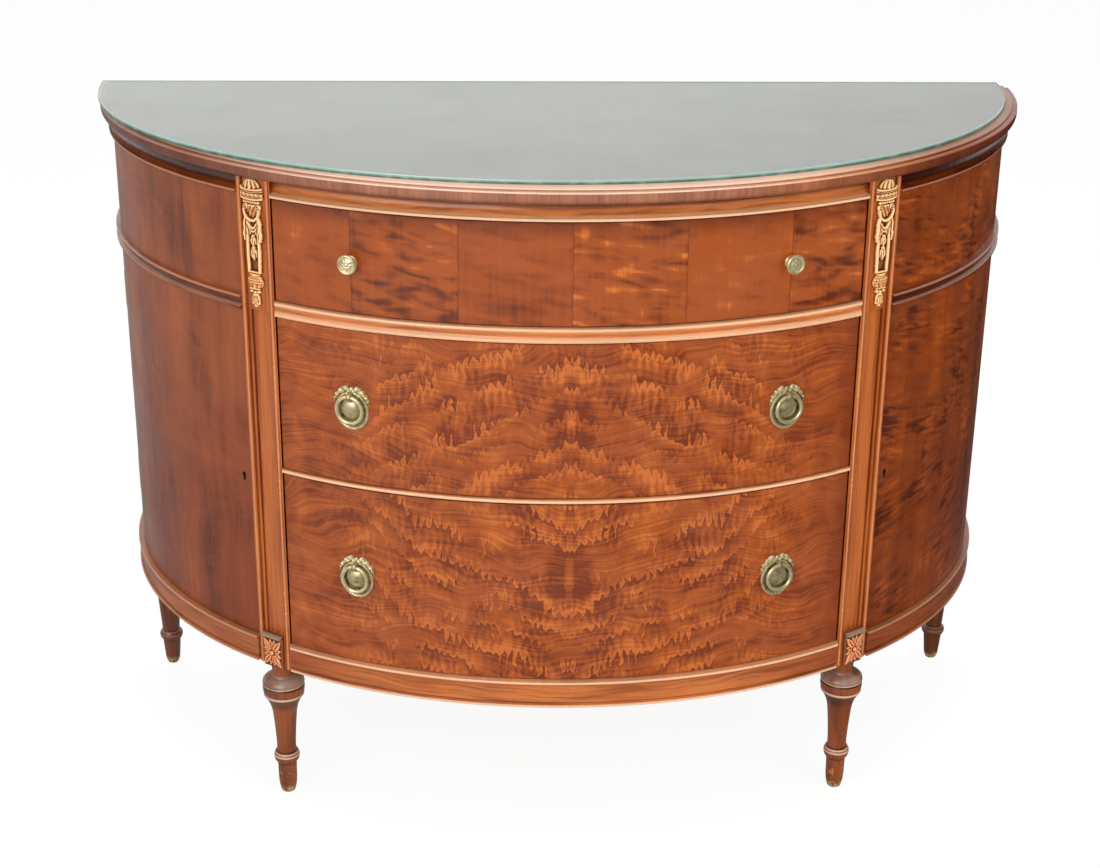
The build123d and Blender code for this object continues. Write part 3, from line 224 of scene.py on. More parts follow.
class Graph:
    """Adds nodes to one tree and links them."""

    def __init__(self, tree: bpy.types.NodeTree) -> None:
        """Keeps the tree that nodes are added to."""
        self.tree = tree

    def node(self, kind: str, **settings: object) -> bpy.types.Node:
        """Adds a node and sets its own settings."""
        made = self.tree.nodes.new(kind)
        for name, value in settings.items():
            setattr(made, name, value)
        return made

    def put(self, socket: bpy.types.NodeSocket, value: object) -> None:
        """Links an output to a socket, or sets the socket's value."""
        if isinstance(value, Value):
            value = value.socket
        if isinstance(value, bpy.types.NodeSocket):
            self.tree.links.new(value, socket)
        elif value is not None:
            socket.default_value = value

    def made(
        self, kind: str, inputs: dict[int | str, object], output: int | str = 0, **settings: object
    ) -> Value:
        """Adds a node with its inputs filled.

        Args:
            kind: Type of the node.
            inputs: Values or outputs for its sockets, by number or by name.
            output: Which of its outputs is wanted.
            settings: Its own settings.

        Returns:
            That output.
        """
        node = self.node(kind, **settings)
        for name, value in inputs.items():
            self.put(node.inputs[name], value)
        return Value(self, node.outputs[output])

    def math(self, kind: str, a: object, b: object = None, clamp: bool = False) -> Value:
        """Adds a math node.

        Args:
            kind: The operation.
            a: First value or output.
            b: Second value or output.
            clamp: Whether the result stays between 0 and 1.

        Returns:
            Its output.
        """
        return self.made("ShaderNodeMath", {0: a, 1: b}, operation=kind, use_clamp=clamp)

    def mix(self, share: object, a: object, b: object, blend: str = "MIX") -> Value:
        """Mixes two colours.

        Args:
            share: How much of the second one.
            a: First colour.
            b: Second colour.
            blend: How they meet.

        Returns:
            The mixed colour.
        """
        inputs = {0: share, 6: a, 7: b}
        return self.made("ShaderNodeMix", inputs, 2, data_type="RGBA", blend_type=blend)

    def blend(self, share: object, a: object, b: object) -> Value:
        """Mixes two plain values."""
        return self.made("ShaderNodeMix", {0: share, 2: a, 3: b}, data_type="FLOAT")

    def span(
        self, value: object, low: float, high: float, start: float = 0.0, end: float = 1.0
    ) -> Value:
        """Maps a value softly from one range to another.

        Args:
            value: What is mapped.
            low: Where the range starts.
            high: Where it ends.
            start: Result at the start.
            end: Result at the end.

        Returns:
            The mapped value, held inside the range.
        """
        if low > high:
            low, high, start, end = high, low, end, start
        inputs = dict(enumerate((value, low, high, start, end)))
        return self.made("ShaderNodeMapRange", inputs, interpolation_type="SMOOTHSTEP")

    def shades(self, value: object, color: object, *steps: tuple[float, float, object]) -> Value:
        """Colours a value.

        Args:
            value: What is coloured.
            color: Colour where it is low.
            steps: Where each further colour starts and is full, and the colour.

        Returns:
            The colour.
        """
        for low, high, shade in steps:
            color = self.mix(self.span(value, low, high), color, shade)
        return color

    def join(self, x: object = 0.0, y: object = 0.0, z: object = 0.0) -> Value:
        """Makes a vector of three values."""
        return self.made("ShaderNodeCombineXYZ", dict(enumerate((x, y, z))))

    def split(self, vector: Value) -> tuple[Value, ...]:
        """Takes a vector apart."""
        made = self.node("ShaderNodeSeparateXYZ")
        self.put(made.inputs[0], vector)
        return tuple(Value(self, output) for output in made.outputs)

    def noise(
        self,
        vector: object,
        scale: float,
        detail: float = 2.0,
        roughness: float = 0.5,
        bend: float = 0.0,
    ) -> Value:
        """Adds a noise texture.

        Args:
            vector: Where it is read.
            scale: How fine it is.
            detail: How many finer layers it has.
            roughness: How strong the finer layers are.
            bend: How much it is distorted.

        Returns:
            Its value.
        """
        inputs = {"Vector": vector, "Scale": scale, "Detail": detail}
        inputs |= {"Roughness": roughness, "Distortion": bend}
        return self.made("ShaderNodeTexNoise", inputs)

    def bump(self, height: object, distance: float) -> Value:
        """Makes a bumped normal from a height in metres per unit."""
        inputs = {"Strength": 1.0, "Distance": distance, "Height": height}
        return self.made("ShaderNodeBump", inputs)

    def place(self, kind: str = "Object") -> Value:
        """Gives coordinates of one kind."""
        return self.made("ShaderNodeTexCoord", {}, kind)

    def mark(self, name: str) -> Value:
        """Gives a number that the mesh carries."""
        return self.made("ShaderNodeAttribute", {}, "Fac", attribute_name=name)

    def rays(self, *kinds: str) -> Value:
        """Gives 1 for rays of any of the kinds named, one or two."""
        path = self.node("ShaderNodeLightPath")
        seen = [Value(self, path.outputs[f"Is {kind} Ray"]) for kind in kinds]
        return seen[0] if len(seen) == 1 else self.math("MAXIMUM", *seen)

    def layer(self, share: Value, over: Value) -> None:
        """Lays a second shader over the material's own one."""
        end = self.tree.nodes["Material Output"].inputs["Surface"]
        under = end.links[0].from_socket
        self.put(end, self.made("ShaderNodeMixShader", {0: share, 1: under, 2: over}))

    def group(self, tree: bpy.types.NodeTree, **values: object) -> dict[str, Value]:
        """Places a node group and gives its outputs; underscores stand for spaces."""
        made = self.node("ShaderNodeGroup", node_tree=tree)
        for name, value in values.items():
            self.put(made.inputs[name.replace("_", " ")], value)
        return {output.name: Value(self, output) for output in made.outputs}


def new_socket(
    tree: bpy.types.NodeTree, name: str, kind: str, way: str = "INPUT"
) -> bpy.types.NodeTreeInterfaceSocket:
    """Gives a node group one more named input or output."""
    return tree.interface.new_socket(name=name, in_out=way, socket_type=f"NodeSocket{kind}")


class GroupMaker:
    """Builds one shared node group."""

    def __init__(self, name: str, inputs: dict[str, float], outputs: Sequence[str]) -> None:
        """Makes the tree with its named sockets.

        Args:
            name: Name of the group.
            inputs: Input names with their first values.
            outputs: Output names.
        """
        self.tree = bpy.data.node_groups.new(name, "ShaderNodeTree")
        for socket_name, value in inputs.items():
            new_socket(self.tree, socket_name, "Float").default_value = value
        for socket_name in outputs:
            new_socket(self.tree, socket_name, "Float", "OUTPUT")
        self.graph = Graph(self.tree)
        self.start = self.graph.node("NodeGroupInput")
        self.end = self.graph.node("NodeGroupOutput")

    def give(self, name: str) -> Value:
        """Gives one of the group's inputs."""
        return Value(self.graph, self.start.outputs[name])

    def take(self, name: str, value: object) -> None:
        """Sends a value to one of the group's outputs."""
        self.graph.put(self.end.inputs[name], value)


class SharedEffects:
    """The node groups that several finishes use."""

    def __init__(self) -> None:
        """Builds every group once."""
        self.place = self.build_place()
        self.chord = self.build_chord()
        self.grain = self.build_grain()
        self.wear = self.build_wear()
        self.line = self.build_line()

    def build_place(self) -> bpy.types.NodeTree:
        """Builds the group that unrolls the bowed face into a flat sheet."""
        mean_radius = 0.565
        maker = GroupMaker("case_place", {}, ("Arc", "Up", "Out", "Side"))
        graph = maker.graph
        x, y, z = graph.split(graph.place())
        across = x / (CASE.half_width * MM)
        back = CASE.back * MM - y
        forward = back / (CASE.depth * MM)
        angle = graph.math("ARCTAN2", across, forward)
        reach = graph.math("SQRT", abs(across) ** 2.0 + abs(forward) ** 2.0)
        maker.take("Arc", angle * mean_radius)
        maker.take("Up", z)
        maker.take("Out", reach)
        maker.take("Side", graph.math("SIGN", x))
        return maker.tree

    def build_chord(self) -> bpy.types.NodeTree:
        """Builds the group that measures across and out of a pilaster's face."""
        maker = GroupMaker("pilaster_place", {}, ("Across", "Out", "Up"))
        graph = maker.graph
        x, y, z = graph.split(graph.place())
        matrix = CASE.pilaster_matrix(0.0)
        origin = matrix.translation * MM
        along, out = matrix.col[0], matrix.col[2]
        side = abs(x) - origin.x
        front = y - origin.y
        for name, way in (("Across", along), ("Out", out)):
            maker.take(name, front * way.y + side * way.x)
        maker.take("Up", z)
        return maker.tree

    def build_grain(self) -> bpy.types.NodeTree:
        """Builds wood grain: fine streaks, slow bands and pores."""
        maker = GroupMaker(
            "wood_grain",
            {"Along": 0.0, "Across": 0.0, "Depth": 0.0, "Fineness": 1.0, "Wander": 1.0},
            ("Streak", "Band", "Pore"),
        )
        graph = maker.graph
        along, across, depth = maker.give("Along"), maker.give("Across"), maker.give("Depth")
        slow = graph.noise(graph.join(along, across, depth), 7.0, 2.0)
        drift = (slow - 0.5) * maker.give("Wander")
        moved = drift * 0.04 + across
        fine = moved * maker.give("Fineness")
        streak = graph.noise(graph.join(along * 9.0, fine * 420.0, depth * 60.0), 1.0, 4.0, 0.62)
        band = graph.noise(graph.join(along * 2.0, fine * 70.0, depth * 20.0), 1.0, 3.0, 0.5)
        pore = graph.noise(graph.join(along * 110.0, fine * 1500.0, 0.0), 1.0, 1.0)
        maker.take("Streak", graph.span(streak, 0.3, 0.7))
        maker.take("Band", graph.span(band, 0.32, 0.68))
        maker.take("Pore", graph.span(pore, 0.6, 0.72))
        return maker.tree

    def build_wear(self) -> bpy.types.NodeTree:
        """Builds rubbed and chipped patches along an edge."""
        maker = GroupMaker(
            "edge_wear", {"Edge": 0.0, "Amount": 0.5, "Along": 0.0, "Up": 0.0}, ("Rubbed", "Chip")
        )
        graph = maker.graph
        place = graph.join(maker.give("Along"), maker.give("Up"), 0.3)
        patch = graph.noise(place, 26.0, 3.0, 0.6)
        speck = graph.noise(place, 260.0, 2.0, 0.6)
        level = 1.0 - maker.give("Amount")
        above = patch - (level * 0.5 + 0.12)
        rubbed = graph.span(above, 0.0, 0.2) * maker.give("Edge")
        chip = graph.span(speck, 0.63, 0.68) * maker.give("Edge")
        maker.take("Rubbed", rubbed)
        maker.take("Chip", chip * graph.span(patch, 0.45, 0.6))
        return maker.tree

    def build_line(self) -> bpy.types.NodeTree:
        """Builds a soft line: 1 at its middle and 0 beyond its half width."""
        inputs = {"Value": 0.0, "Middle": 0.0, "Half width": 0.001}
        maker = GroupMaker("soft_line", inputs, ("Line",))
        graph = maker.graph
        off = abs(maker.give("Value") - maker.give("Middle"))
        share = off / maker.give("Half width")
        maker.take("Line", graph.span(share, 1.0, 0.25, 0.0, 1.0))
        return maker.tree


# Finishes


@dataclass
class Surface:
    """A material being made: its graph, its shader and the shared groups."""

    name: str
    effects: SharedEffects
    material: bpy.types.Material = field(init=False)
    graph: Graph = field(init=False)
    shader: bpy.types.Node = field(init=False)

    def __post_init__(self) -> None:
        """Starts the material with one Principled shader."""
        self.material = bpy.data.materials.new(self.name)
        self.material.use_nodes = True
        self.graph = Graph(self.material.node_tree)
        self.shader = self.material.node_tree.nodes["Principled BSDF"]

    def set(self, **values: object) -> None:
        """Sets or links the shader's sockets; an underscore stands for a space."""
        for name, value in values.items():
            self.graph.put(self.shader.inputs[name.replace("_", " ")], value)

    def lines(self, value: object, places: Iterable[tuple[float, float]]) -> object:
        """Gives the strongest of several soft lines, each a middle and a half width in mm."""
        total: object = 0.0
        for middle, half in places:
            line = self.graph.group(
                self.effects.line, Value=value, Middle=middle * MM, Half_width=half * MM
            )
            total = self.graph.math("MAXIMUM", total, line["Line"])
        return total

    def grain(
        self, along: Value, across: Value, depth: object, fineness: float, wander: float
    ) -> dict[str, Value]:
        """Gives wood grain.

        Args:
            along: Place along the grain.
            across: Place across the grain.
            depth: Place into the wood, or a number that picks another cut.
            fineness: How fine the streaks are.
            wander: How far the streaks wander.

        Returns:
            The streaks, bands and pores.
        """
        return self.graph.group(
            self.effects.grain,
            Along=along,
            Across=across,
            Depth=depth,
            Fineness=fineness,
            Wander=wander,
        )

    def wear(self, edge: Value, amount: float, along: Value, up: Value) -> dict[str, Value]:
        """Gives rubbed and chipped patches.

        Args:
            edge: Where an edge is, 0 to 1.
            amount: How much of it is worn.
            along: Place along the edge.
            up: Height.

        Returns:
            The rubbed and the chipped places.
        """
        return self.graph.group(self.effects.wear, Edge=edge, Amount=amount, Along=along, Up=up)

    def dims(self, color: object, share: object, dark: tuple[float, ...]) -> Value:
        """Multiplies a colour by a dark tone in some places."""
        return self.graph.mix(share, color, dark, "MULTIPLY")


class Finish:
    """A finish: its own class names the material and paints it."""

    name: str

    def build(self, effects: SharedEffects) -> bpy.types.Material:
        """Makes the material.

        Args:
            effects: The shared node groups.

        Returns:
            The material.
        """
        surface = Surface(self.name, effects)
        self.paint(surface)
        return surface.material

    def paint(self, surface: Surface) -> None:
        """Draws the finish; each kind of finish has its own way."""
        raise NotImplementedError


@dataclass(frozen=True)
class Polish:
    """How a polished wood surface shines."""

    roughness: float = 0.32
    coat: float = 0.35
    coat_roughness: float = 0.16

    def apply(self, surface: Surface, color: object, height: object, relief: float) -> None:
        """Finishes a wood surface.

        Args:
            surface: The material being made.
            color: Its colour.
            height: Height of its grain, 0 to 1.
            relief: How deep the grain is, in metres.
        """
        graph = surface.graph
        place = graph.place()
        haze = graph.noise(place, 11.0, 3.0, 0.6)
        surface.set(
            Base_Color=color,
            Roughness=graph.span(haze, 0.3, 0.7, self.roughness - 0.05, self.roughness + 0.1),
            Coat_Weight=self.coat,
            Coat_Roughness=self.coat_roughness,
            Normal=graph.bump(height, relief),
        )


@dataclass(frozen=True)
class FlameVeneer(Finish):
    """Four leaves of flame figure, opened like a book across two drawers."""

    name: str = "front_veneer"
    tongue: float = 0.0092
    rise: float = 0.037
    dark: tuple[float, ...] = tone(118, 46, 10)
    mid: tuple[float, ...] = tone(160, 74, 18)
    bright: tuple[float, ...] = tone(198, 104, 38)
    polish: Polish = Polish()

    def paint(self, surface: Surface) -> None:
        """Draws the finish.

        Args:
            surface: The material being made.
        """
        graph = surface.graph
        place = graph.group(surface.effects.place)
        arc, up = place["Arc"], place["Up"]
        across = abs(arc)
        rise = up - CASE.divider_middle * MM
        lift = abs(rise)
        below = graph.span(rise, 0.004, -0.004)
        flat = graph.join(across, lift, below)
        slow = graph.noise(flat, 9.0, 3.0, 0.55)
        uneven = graph.noise(flat, 60.0, 2.0, 0.5)
        count = uneven * 1.6 + across / self.tongue
        jag = graph.math("PINGPONG", count, 0.5)
        tall = jag * graph.span(graph.noise(flat, 34.0, 1.0), 0.3, 0.7, 0.01, 0.044)
        bent = (slow - 0.5) * 0.11 + (across * 0.56 + lift)
        edge = graph.math("FRACT", (bent - tall) / self.rise)
        glow = edge ** 1.4
        inner = graph.span(across, 0.34, 0.16)
        patchy = graph.span(graph.noise(flat, 17.0, 2.0, 0.5, 0.5), 0.36, 0.56, 0.1, 1.0)
        hair = graph.noise(graph.join(across * 330.0, lift * 26.0, below), 1.0, 2.0)
        shade = ((hair - 0.5) * 0.55 + (glow - 0.4)) * (inner * patchy)
        blotch = graph.noise(graph.join(across * 1.3, lift, 0.4), 22.0, 3.0, 0.55, 0.8)
        broad = (blotch - 0.5) * 0.85 + 0.49
        value = shade * 0.6 + broad
        grain = surface.grain(arc, up, 0.2, 0.7, 2.6)
        value = (grain["Streak"] - 0.5) * 0.3 + value
        value = (grain["Band"] - 0.5) * graph.span(across, 0.12, 0.3, 0.05, 0.2) + value
        from_heart = abs(lift - 0.105)
        beside = graph.span(across, 0.034, 0.02) * graph.span(across, 0.002, 0.007)
        heart = beside * graph.span(from_heart, 0.045, 0.015)
        value = heart * -0.3 + value
        color = graph.shades(value, self.dark, (0.18, 0.55, self.mid), (0.5, 0.92, self.bright))
        # Painted shade: the fronts darken towards their right ends.
        color = graph.mix(graph.span(arc, 0.29, 0.37, 0.0, 0.75), color, self.dark)
        self.polish.apply(surface, color, grain["Streak"], 0.00004)


@dataclass(frozen=True)
class SegmentVeneer(Finish):
    """Upright leaves of mottled veneer, laid side by side on the top drawer."""

    name: str = "top_drawer_veneer"
    leaf: float = 0.126
    dark: tuple[float, ...] = tone(100, 40, 12)
    mid: tuple[float, ...] = tone(162, 76, 22)
    bright: tuple[float, ...] = tone(226, 124, 46)
    polish: Polish = Polish()

    def paint(self, surface: Surface) -> None:
        """Draws the finish.

        Args:
            surface: The material being made.
        """
        graph = surface.graph
        place = graph.group(surface.effects.place)
        arc, up = place["Arc"], place["Up"]
        count = arc / self.leaf
        leaf = graph.math("FLOOR", count)
        local = graph.math("FRACT", count)
        pair = graph.math("FRACT", count * 0.5)
        strong = graph.span(pair, 0.495, 0.505, 1.0, 0.4)
        tilted = arc * 0.12 + up
        spot = graph.join(arc * 26.0, tilted * 74.0, leaf * 3.7)
        mottle = graph.noise(spot, 1.0, 1.5, 0.5, 0.35)
        wide = graph.noise(graph.join(arc, up, leaf * 1.3), 13.0, 2.0)
        value = (wide - 0.5) * 0.5 + 0.46
        value = (mottle - 0.5) * strong * 1.55 + value
        cross = graph.noise(graph.join(arc * 260.0, up * 9.0, leaf), 1.0, 3.0, 0.6)
        value = (cross - 0.5) * 0.36 + value
        step = graph.noise(graph.join(leaf * 5.3, 0.0, 0.0), 1.0, 0.0)
        value = (step - 0.5) * 0.5 + value
        color = graph.shades(value, self.dark, (0.0, 0.5, self.mid), (0.54, 0.92, self.bright))
        joint = graph.math("MAXIMUM", graph.span(local, 0.008, 0.0), graph.span(local, 0.992, 1.0))
        color = surface.dims(color, joint * 0.5, tone(120, 80, 60))
        # Painted shade under the cornice: the top drawer's front darkens towards its top edge.
        top = graph.span(up, (CASE.cornice_bottom - 30.0) * MM, CASE.cornice_bottom * MM, 0.0, 0.55)
        color = surface.dims(color, top, tone(130, 105, 110))
        self.polish.apply(surface, color, cross, 0.00003)


@dataclass(frozen=True)
class SideVeneer(Finish):
    """Red-brown cross-figured veneer on the doors and the panels above them."""

    name: str = "side_veneer"
    dark: tuple[float, ...] = tone(84, 31, 7)
    mid: tuple[float, ...] = tone(134, 57, 8)
    bright: tuple[float, ...] = tone(178, 84, 14)
    polish: Polish = Polish(roughness=0.3, coat=0.24)

    def paint(self, surface: Surface) -> None:
        """Draws the finish.

        Args:
            surface: The material being made.
        """
        graph = surface.graph
        place = graph.group(surface.effects.place)
        arc, up, side = place["Arc"], place["Up"], place["Side"]
        right = graph.span(side, -0.5, 0.5)
        middle = (CASE.base_top + CASE.belt_bottom) / 2 * MM
        seam = abs(up - middle)
        is_door = graph.span(up, (CASE.belt_bottom + 7.0) * MM, (CASE.belt_bottom + 3.0) * MM)
        level = graph.blend(is_door, up, seam)
        flat = graph.join(arc, level, is_door * 2.0)
        tilted = arc * 0.2 + level
        ripple = graph.noise(graph.join(arc * 30.0, tilted * 120.0, is_door), 1.0, 2.0, 0.5, 0.5)
        wide = graph.noise(flat, 7.0, 3.0, 0.5, 0.4)
        upright = graph.noise(graph.join(arc * 26.0, level * 2.5, is_door), 1.0, 2.0)
        value = (wide - 0.5) * 0.95 + 0.5
        value = (upright - 0.5) * 0.6 + value
        patches = graph.span(graph.noise(flat, 13.0, 1.0), 0.42, 0.62, 0.25, 1.0)
        value = (ripple - 0.5) * (graph.blend(right, 0.3, 1.6) * patches) + value
        grain = surface.grain(up, arc, 0.5, 0.8, 1.5)
        value = (grain["Streak"] - 0.5) * 0.12 + value
        value = (grain["Band"] - 0.5) * 0.12 + value
        color = graph.shades(value, self.dark, (0.12, 0.55, self.mid), (0.5, 1.0, self.bright))
        # Painted sheen on the left side, stronger towards the top.
        rising = graph.span(up, 0.25, 0.7, 0.05, 0.5)
        left_sheen = graph.blend(right, 1.0, 0.0) * (rising * value)
        color = graph.mix(left_sheen, color, tone(176, 104, 66))
        half = graph.span(up, middle + 0.001, middle - 0.001) * is_door
        color = surface.dims(color, half * 0.25, tone(206, 190, 176))
        self.polish.apply(surface, color, grain["Streak"], 0.00004)


@dataclass(frozen=True)
class MouldingWood(Finish):
    """Mouldings with painted highlights and rubbed wear on the beads, and painted shade in the hollows,
    at the sides and on the right.
    """

    name: str = "moulding_wood"
    dark: tuple[float, ...] = tone(164, 84, 34)
    mid: tuple[float, ...] = tone(216, 126, 60)
    pale: tuple[float, ...] = tone(246, 206, 166)
    side_shade: tuple[float, ...] = tone(172, 142, 122)
    right_shade: tuple[float, ...] = tone(196, 158, 108)
    polish: Polish = Polish(roughness=0.28)

    def paint(self, surface: Surface) -> None:
        """Draws the finish.

        Args:
            surface: The material being made.
        """
        graph = surface.graph
        place = graph.group(surface.effects.place)
        arc, up = place["Arc"], place["Up"]
        x = graph.split(graph.place())[0]
        inner = CASE.opening_half_width * MM
        side = graph.span(abs(x), inner + 0.005, inner + 0.02)
        grain = surface.grain(arc, up, 0.1, 0.6, 0.8)
        flat = graph.join(arc * 9.0, 0.0, up * 60.0)
        tonal = graph.noise(flat, 1.0, 3.0)
        value = (grain["Streak"] - 0.5) * 0.35 + tonal
        color = graph.mix(graph.span(value, 0.2, 0.7), self.dark, self.mid)
        belt = (CASE.belt_bottom + CASE.belt_top) / 2
        # Painted shade in the hollows under the top board, along the base and under the divider rail.
        hollow_shade = surface.lines(
            up,
            (
                (CASE.top_bottom - 3.0, 7.0),
                (CASE.base_top - 5.0, 1.4),
                (CASE.base_bottom + 6.0, 1.0),
                (CASE.divider_bottom, 1.2),
            ),
        )
        color = surface.dims(color, hollow_shade * 0.75, tone(150, 104, 74))
        low = graph.span(up, CASE.base_top * MM + 0.001, CASE.base_top * MM - 0.001)
        ends = graph.span(abs(x), inner * 0.55, inner, 0.3, 1.0)
        front_low = low * graph.blend(side, ends, 0.0)
        color = surface.dims(color, front_low, tone(196, 168, 150))
        # Painted shade in the belt's hollow: a thin line at the front, a wide band at the sides.
        thin_sunk = surface.lines(up, ((belt, 1.2),)) * 0.4
        sunk = graph.blend(side, thin_sunk, surface.lines(up, ((belt, 7.0),)))
        color = surface.dims(color, sunk * 0.7, tone(140, 112, 98))
        shaded = side * graph.span(up, 0.3, 0.5, 0.62, 0.9)
        color = surface.dims(color, shaded, self.side_shade)
        right = side * graph.span(x, 0.0, 0.1)
        color = surface.dims(color, right * 0.7, self.right_shade)
        # Painted shade in the cornice's cove at the sides, under the top's overhang.
        cove_start = CASE.cornice_bottom * MM + 0.004
        cove = side * graph.span(up, cove_start, cove_start + 0.004)
        color = surface.dims(color, cove * 0.85, tone(124, 104, 88))
        # Painted highlights along the bead crests, broad ones only at the front; rubbed wear and chips
        # lie on the same crests.
        broad = surface.lines(
            up,
            (
                (CASE.cornice_bottom + 2.2, 4.6),
                (CASE.belt_top - 2.6, 5.0),
                (CASE.belt_bottom + 2.8, 5.2),
            ),
        )
        thin = surface.lines(
            up,
            (
                (CASE.cornice_bottom + 1.6, 1.8),
                (CASE.belt_top - 1.8, 1.8),
                (CASE.belt_bottom + 4.6, 1.2),
                (CASE.divider_middle, 3.2),
                (CASE.base_top - 1.5, 2.2),
                (CASE.base_bottom + 1.8, 2.6),
            ),
        )
        front_broad = broad * graph.blend(side, 0.6, 0.0)
        crest = graph.math("MAXIMUM", front_broad, thin * graph.blend(side, 0.8, 0.26))
        wear = surface.wear(crest, 0.85, arc, up)
        # Rubbed wear plus the painted highlight of the crests.
        soft = wear["Rubbed"] * 0.22 + crest * 0.7
        color = graph.mix(soft, color, self.pale)
        color = graph.mix(wear["Chip"], color, tone(244, 222, 200))
        self.polish.apply(surface, color, grain["Streak"], 0.00005)


@dataclass(frozen=True)
class PilasterWood(Finish):
    """Straight upright grain, with painted light down the flute, painted shade in the grooves, and
    painted highlights with rubbed wear on the beads.

    Places and half widths are millimetres across the pilaster's face.
    """

    name: str = "pilaster_wood"
    dark: tuple[float, ...] = tone(150, 66, 14)
    mid: tuple[float, ...] = tone(194, 102, 34)
    pale: tuple[float, ...] = tone(232, 162, 112)
    flute: tuple[float, float] = (-3.3, 16.0)
    grooves: tuple[tuple[float, float], ...] = ((-18.2, 1.6), (11.2, 1.4), (16.5, 2.8))
    beads: tuple[tuple[float, float], ...] = ((-21.7, 2.2), (21.7, 2.4))
    polish: Polish = Polish(roughness=0.32)

    def paint(self, surface: Surface) -> None:
        """Draws the finish.

        Args:
            surface: The material being made.
        """
        graph = surface.graph
        place = graph.group(surface.effects.chord)
        across, out, up = place["Across"], place["Out"], place["Up"]
        grain = surface.grain(up, across, out, 1.0, 0.3)
        tonal = graph.noise(graph.join(across * 60.0, out, up * 7.0), 1.0, 3.0)
        value = (grain["Streak"] - 0.5) * 0.35 + tonal
        color = graph.mix(graph.span(value, 0.25, 0.75), self.dark, self.mid)
        top, foot = CASE.belt_bottom * MM, CASE.pilaster_bottom * MM
        below_top = graph.span(up, top + 0.003, top + 0.001)
        inside = below_top * graph.span(up, foot + 0.048, foot + 0.054)
        # Painted light down the middle of the flute.
        flute = surface.lines(across, (self.flute,))
        color = graph.mix(flute * inside * 0.3, color, tone(196, 112, 58))
        edges = surface.lines(across, self.grooves)
        sunk = graph.span(out, 0.0002, -0.0018)
        shade = edges * graph.math("MAXIMUM", sunk, 0.25)
        color = surface.dims(color, shade * 0.62, tone(88, 58, 44))
        # Painted highlights along the bead crests, with rubbed wear and chips on them.
        crest = surface.lines(across, self.beads) * graph.span(out, 0.0005, 0.0014)
        wear = surface.wear(crest, 0.8, across, up)
        soft = crest * 0.22 + wear["Rubbed"] * 0.32
        color = graph.mix(soft, color, self.pale)
        color = graph.mix(wear["Chip"], color, tone(238, 208, 178))
        self.polish.apply(surface, color, grain["Streak"], 0.00005)


@dataclass(frozen=True)
class TopWood(Finish):
    """Dark polished top with a cross-banded rim: rubbed wear and painted highlights on its upper edge,
    painted shade under it, towards its ends and on the right, and a painted reflection on the bare strip
    round the glass.
    """

    name: str = "top_wood"
    dark: tuple[float, ...] = tone(62, 38, 28)
    mid: tuple[float, ...] = tone(92, 58, 42)
    rim: tuple[float, ...] = tone(178, 116, 84)
    rim_dark: tuple[float, ...] = tone(132, 78, 54)
    strip: tuple[float, ...] = tone(216, 172, 146)
    side_shade: tuple[float, ...] = tone(172, 138, 116)
    polish: Polish = Polish(roughness=0.34, coat=0.3, coat_roughness=0.2)

    def paint(self, surface: Surface) -> None:
        """Draws the finish.

        Args:
            surface: The material being made.
        """
        graph = surface.graph
        x, y = graph.split(graph.place())[:2]
        place = graph.group(surface.effects.place)
        arc, up = place["Arc"], place["Up"]
        grain = surface.grain(x, y, 0.3, 0.45, 2.0)
        drawn = graph.join(x * 3.0, y * 14.0, 0.0)
        figure = graph.noise(drawn, 1.0, 3.0, 0.5, 0.5)
        value = (grain["Streak"] - 0.5) * 0.3 + figure
        flat_color = graph.mix(graph.span(value, 0.25, 0.75), self.dark, self.mid)
        cross = surface.grain(up, arc, 0.1, 0.55, 0.2)
        tonal = graph.noise(graph.join(arc * 22.0, 0.0, 0.0), 1.0, 4.0, 0.6)
        rim_value = (cross["Streak"] - 0.5) * 0.2 + tonal
        rim_color = graph.mix(graph.span(rim_value, 0.2, 0.8), self.rim_dark, self.rim)
        # Painted highlights along the rim's upper edge, with rubbed wear and chips on them.
        lines = surface.lines(up, ((CASE.top_height - 0.6, 1.6), (CASE.top_height - 3.6, 1.4)))
        wear = surface.wear(lines, 0.9, arc, up)
        soft = wear["Rubbed"] * 0.2 + lines * 0.75
        rim_color = graph.mix(soft, rim_color, tone(238, 202, 178))
        rim_color = graph.mix(wear["Chip"], rim_color, tone(240, 214, 188))
        # Painted shade under the rim.
        under = graph.span(up, (CASE.top_bottom + 6.0) * MM, (CASE.top_bottom + 0.5) * MM)
        rim_color = surface.dims(rim_color, under * 0.6, tone(120, 84, 66))
        sheet_low, sheet_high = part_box("glass_top")
        middle = (sheet_low.x + sheet_high.x) / 2
        over = (x - middle) / (sheet_high.x - middle)
        behind = (y - sheet_high.y) / (sheet_high.y - sheet_low.y)
        glass = graph.math("SQRT", over ** 2.0 + behind ** 2.0)
        # Painted reflection: the bare strip of top round the glass is pale, browner towards the ends;
        # the rim also gets painted shade towards its ends.
        ends = graph.span(abs(arc), 0.22, 0.5)
        strip = graph.mix(ends, self.strip, tone(138, 88, 62))
        flat_color = graph.mix(graph.span(glass, 0.997, 1.003), flat_color, strip)
        rim_color = surface.dims(rim_color, ends, self.side_shade)
        # Painted shade on the right of the rim.
        right = graph.span(x, 0.1, 0.45) * 0.9
        rim_color = surface.dims(rim_color, right, tone(250, 206, 140))
        is_flat = graph.span(up, (CASE.top_height - 0.15) * MM, (CASE.top_height - 0.02) * MM)
        color = graph.mix(is_flat, rim_color, flat_color)
        self.polish.apply(surface, color, grain["Streak"], 0.00003)


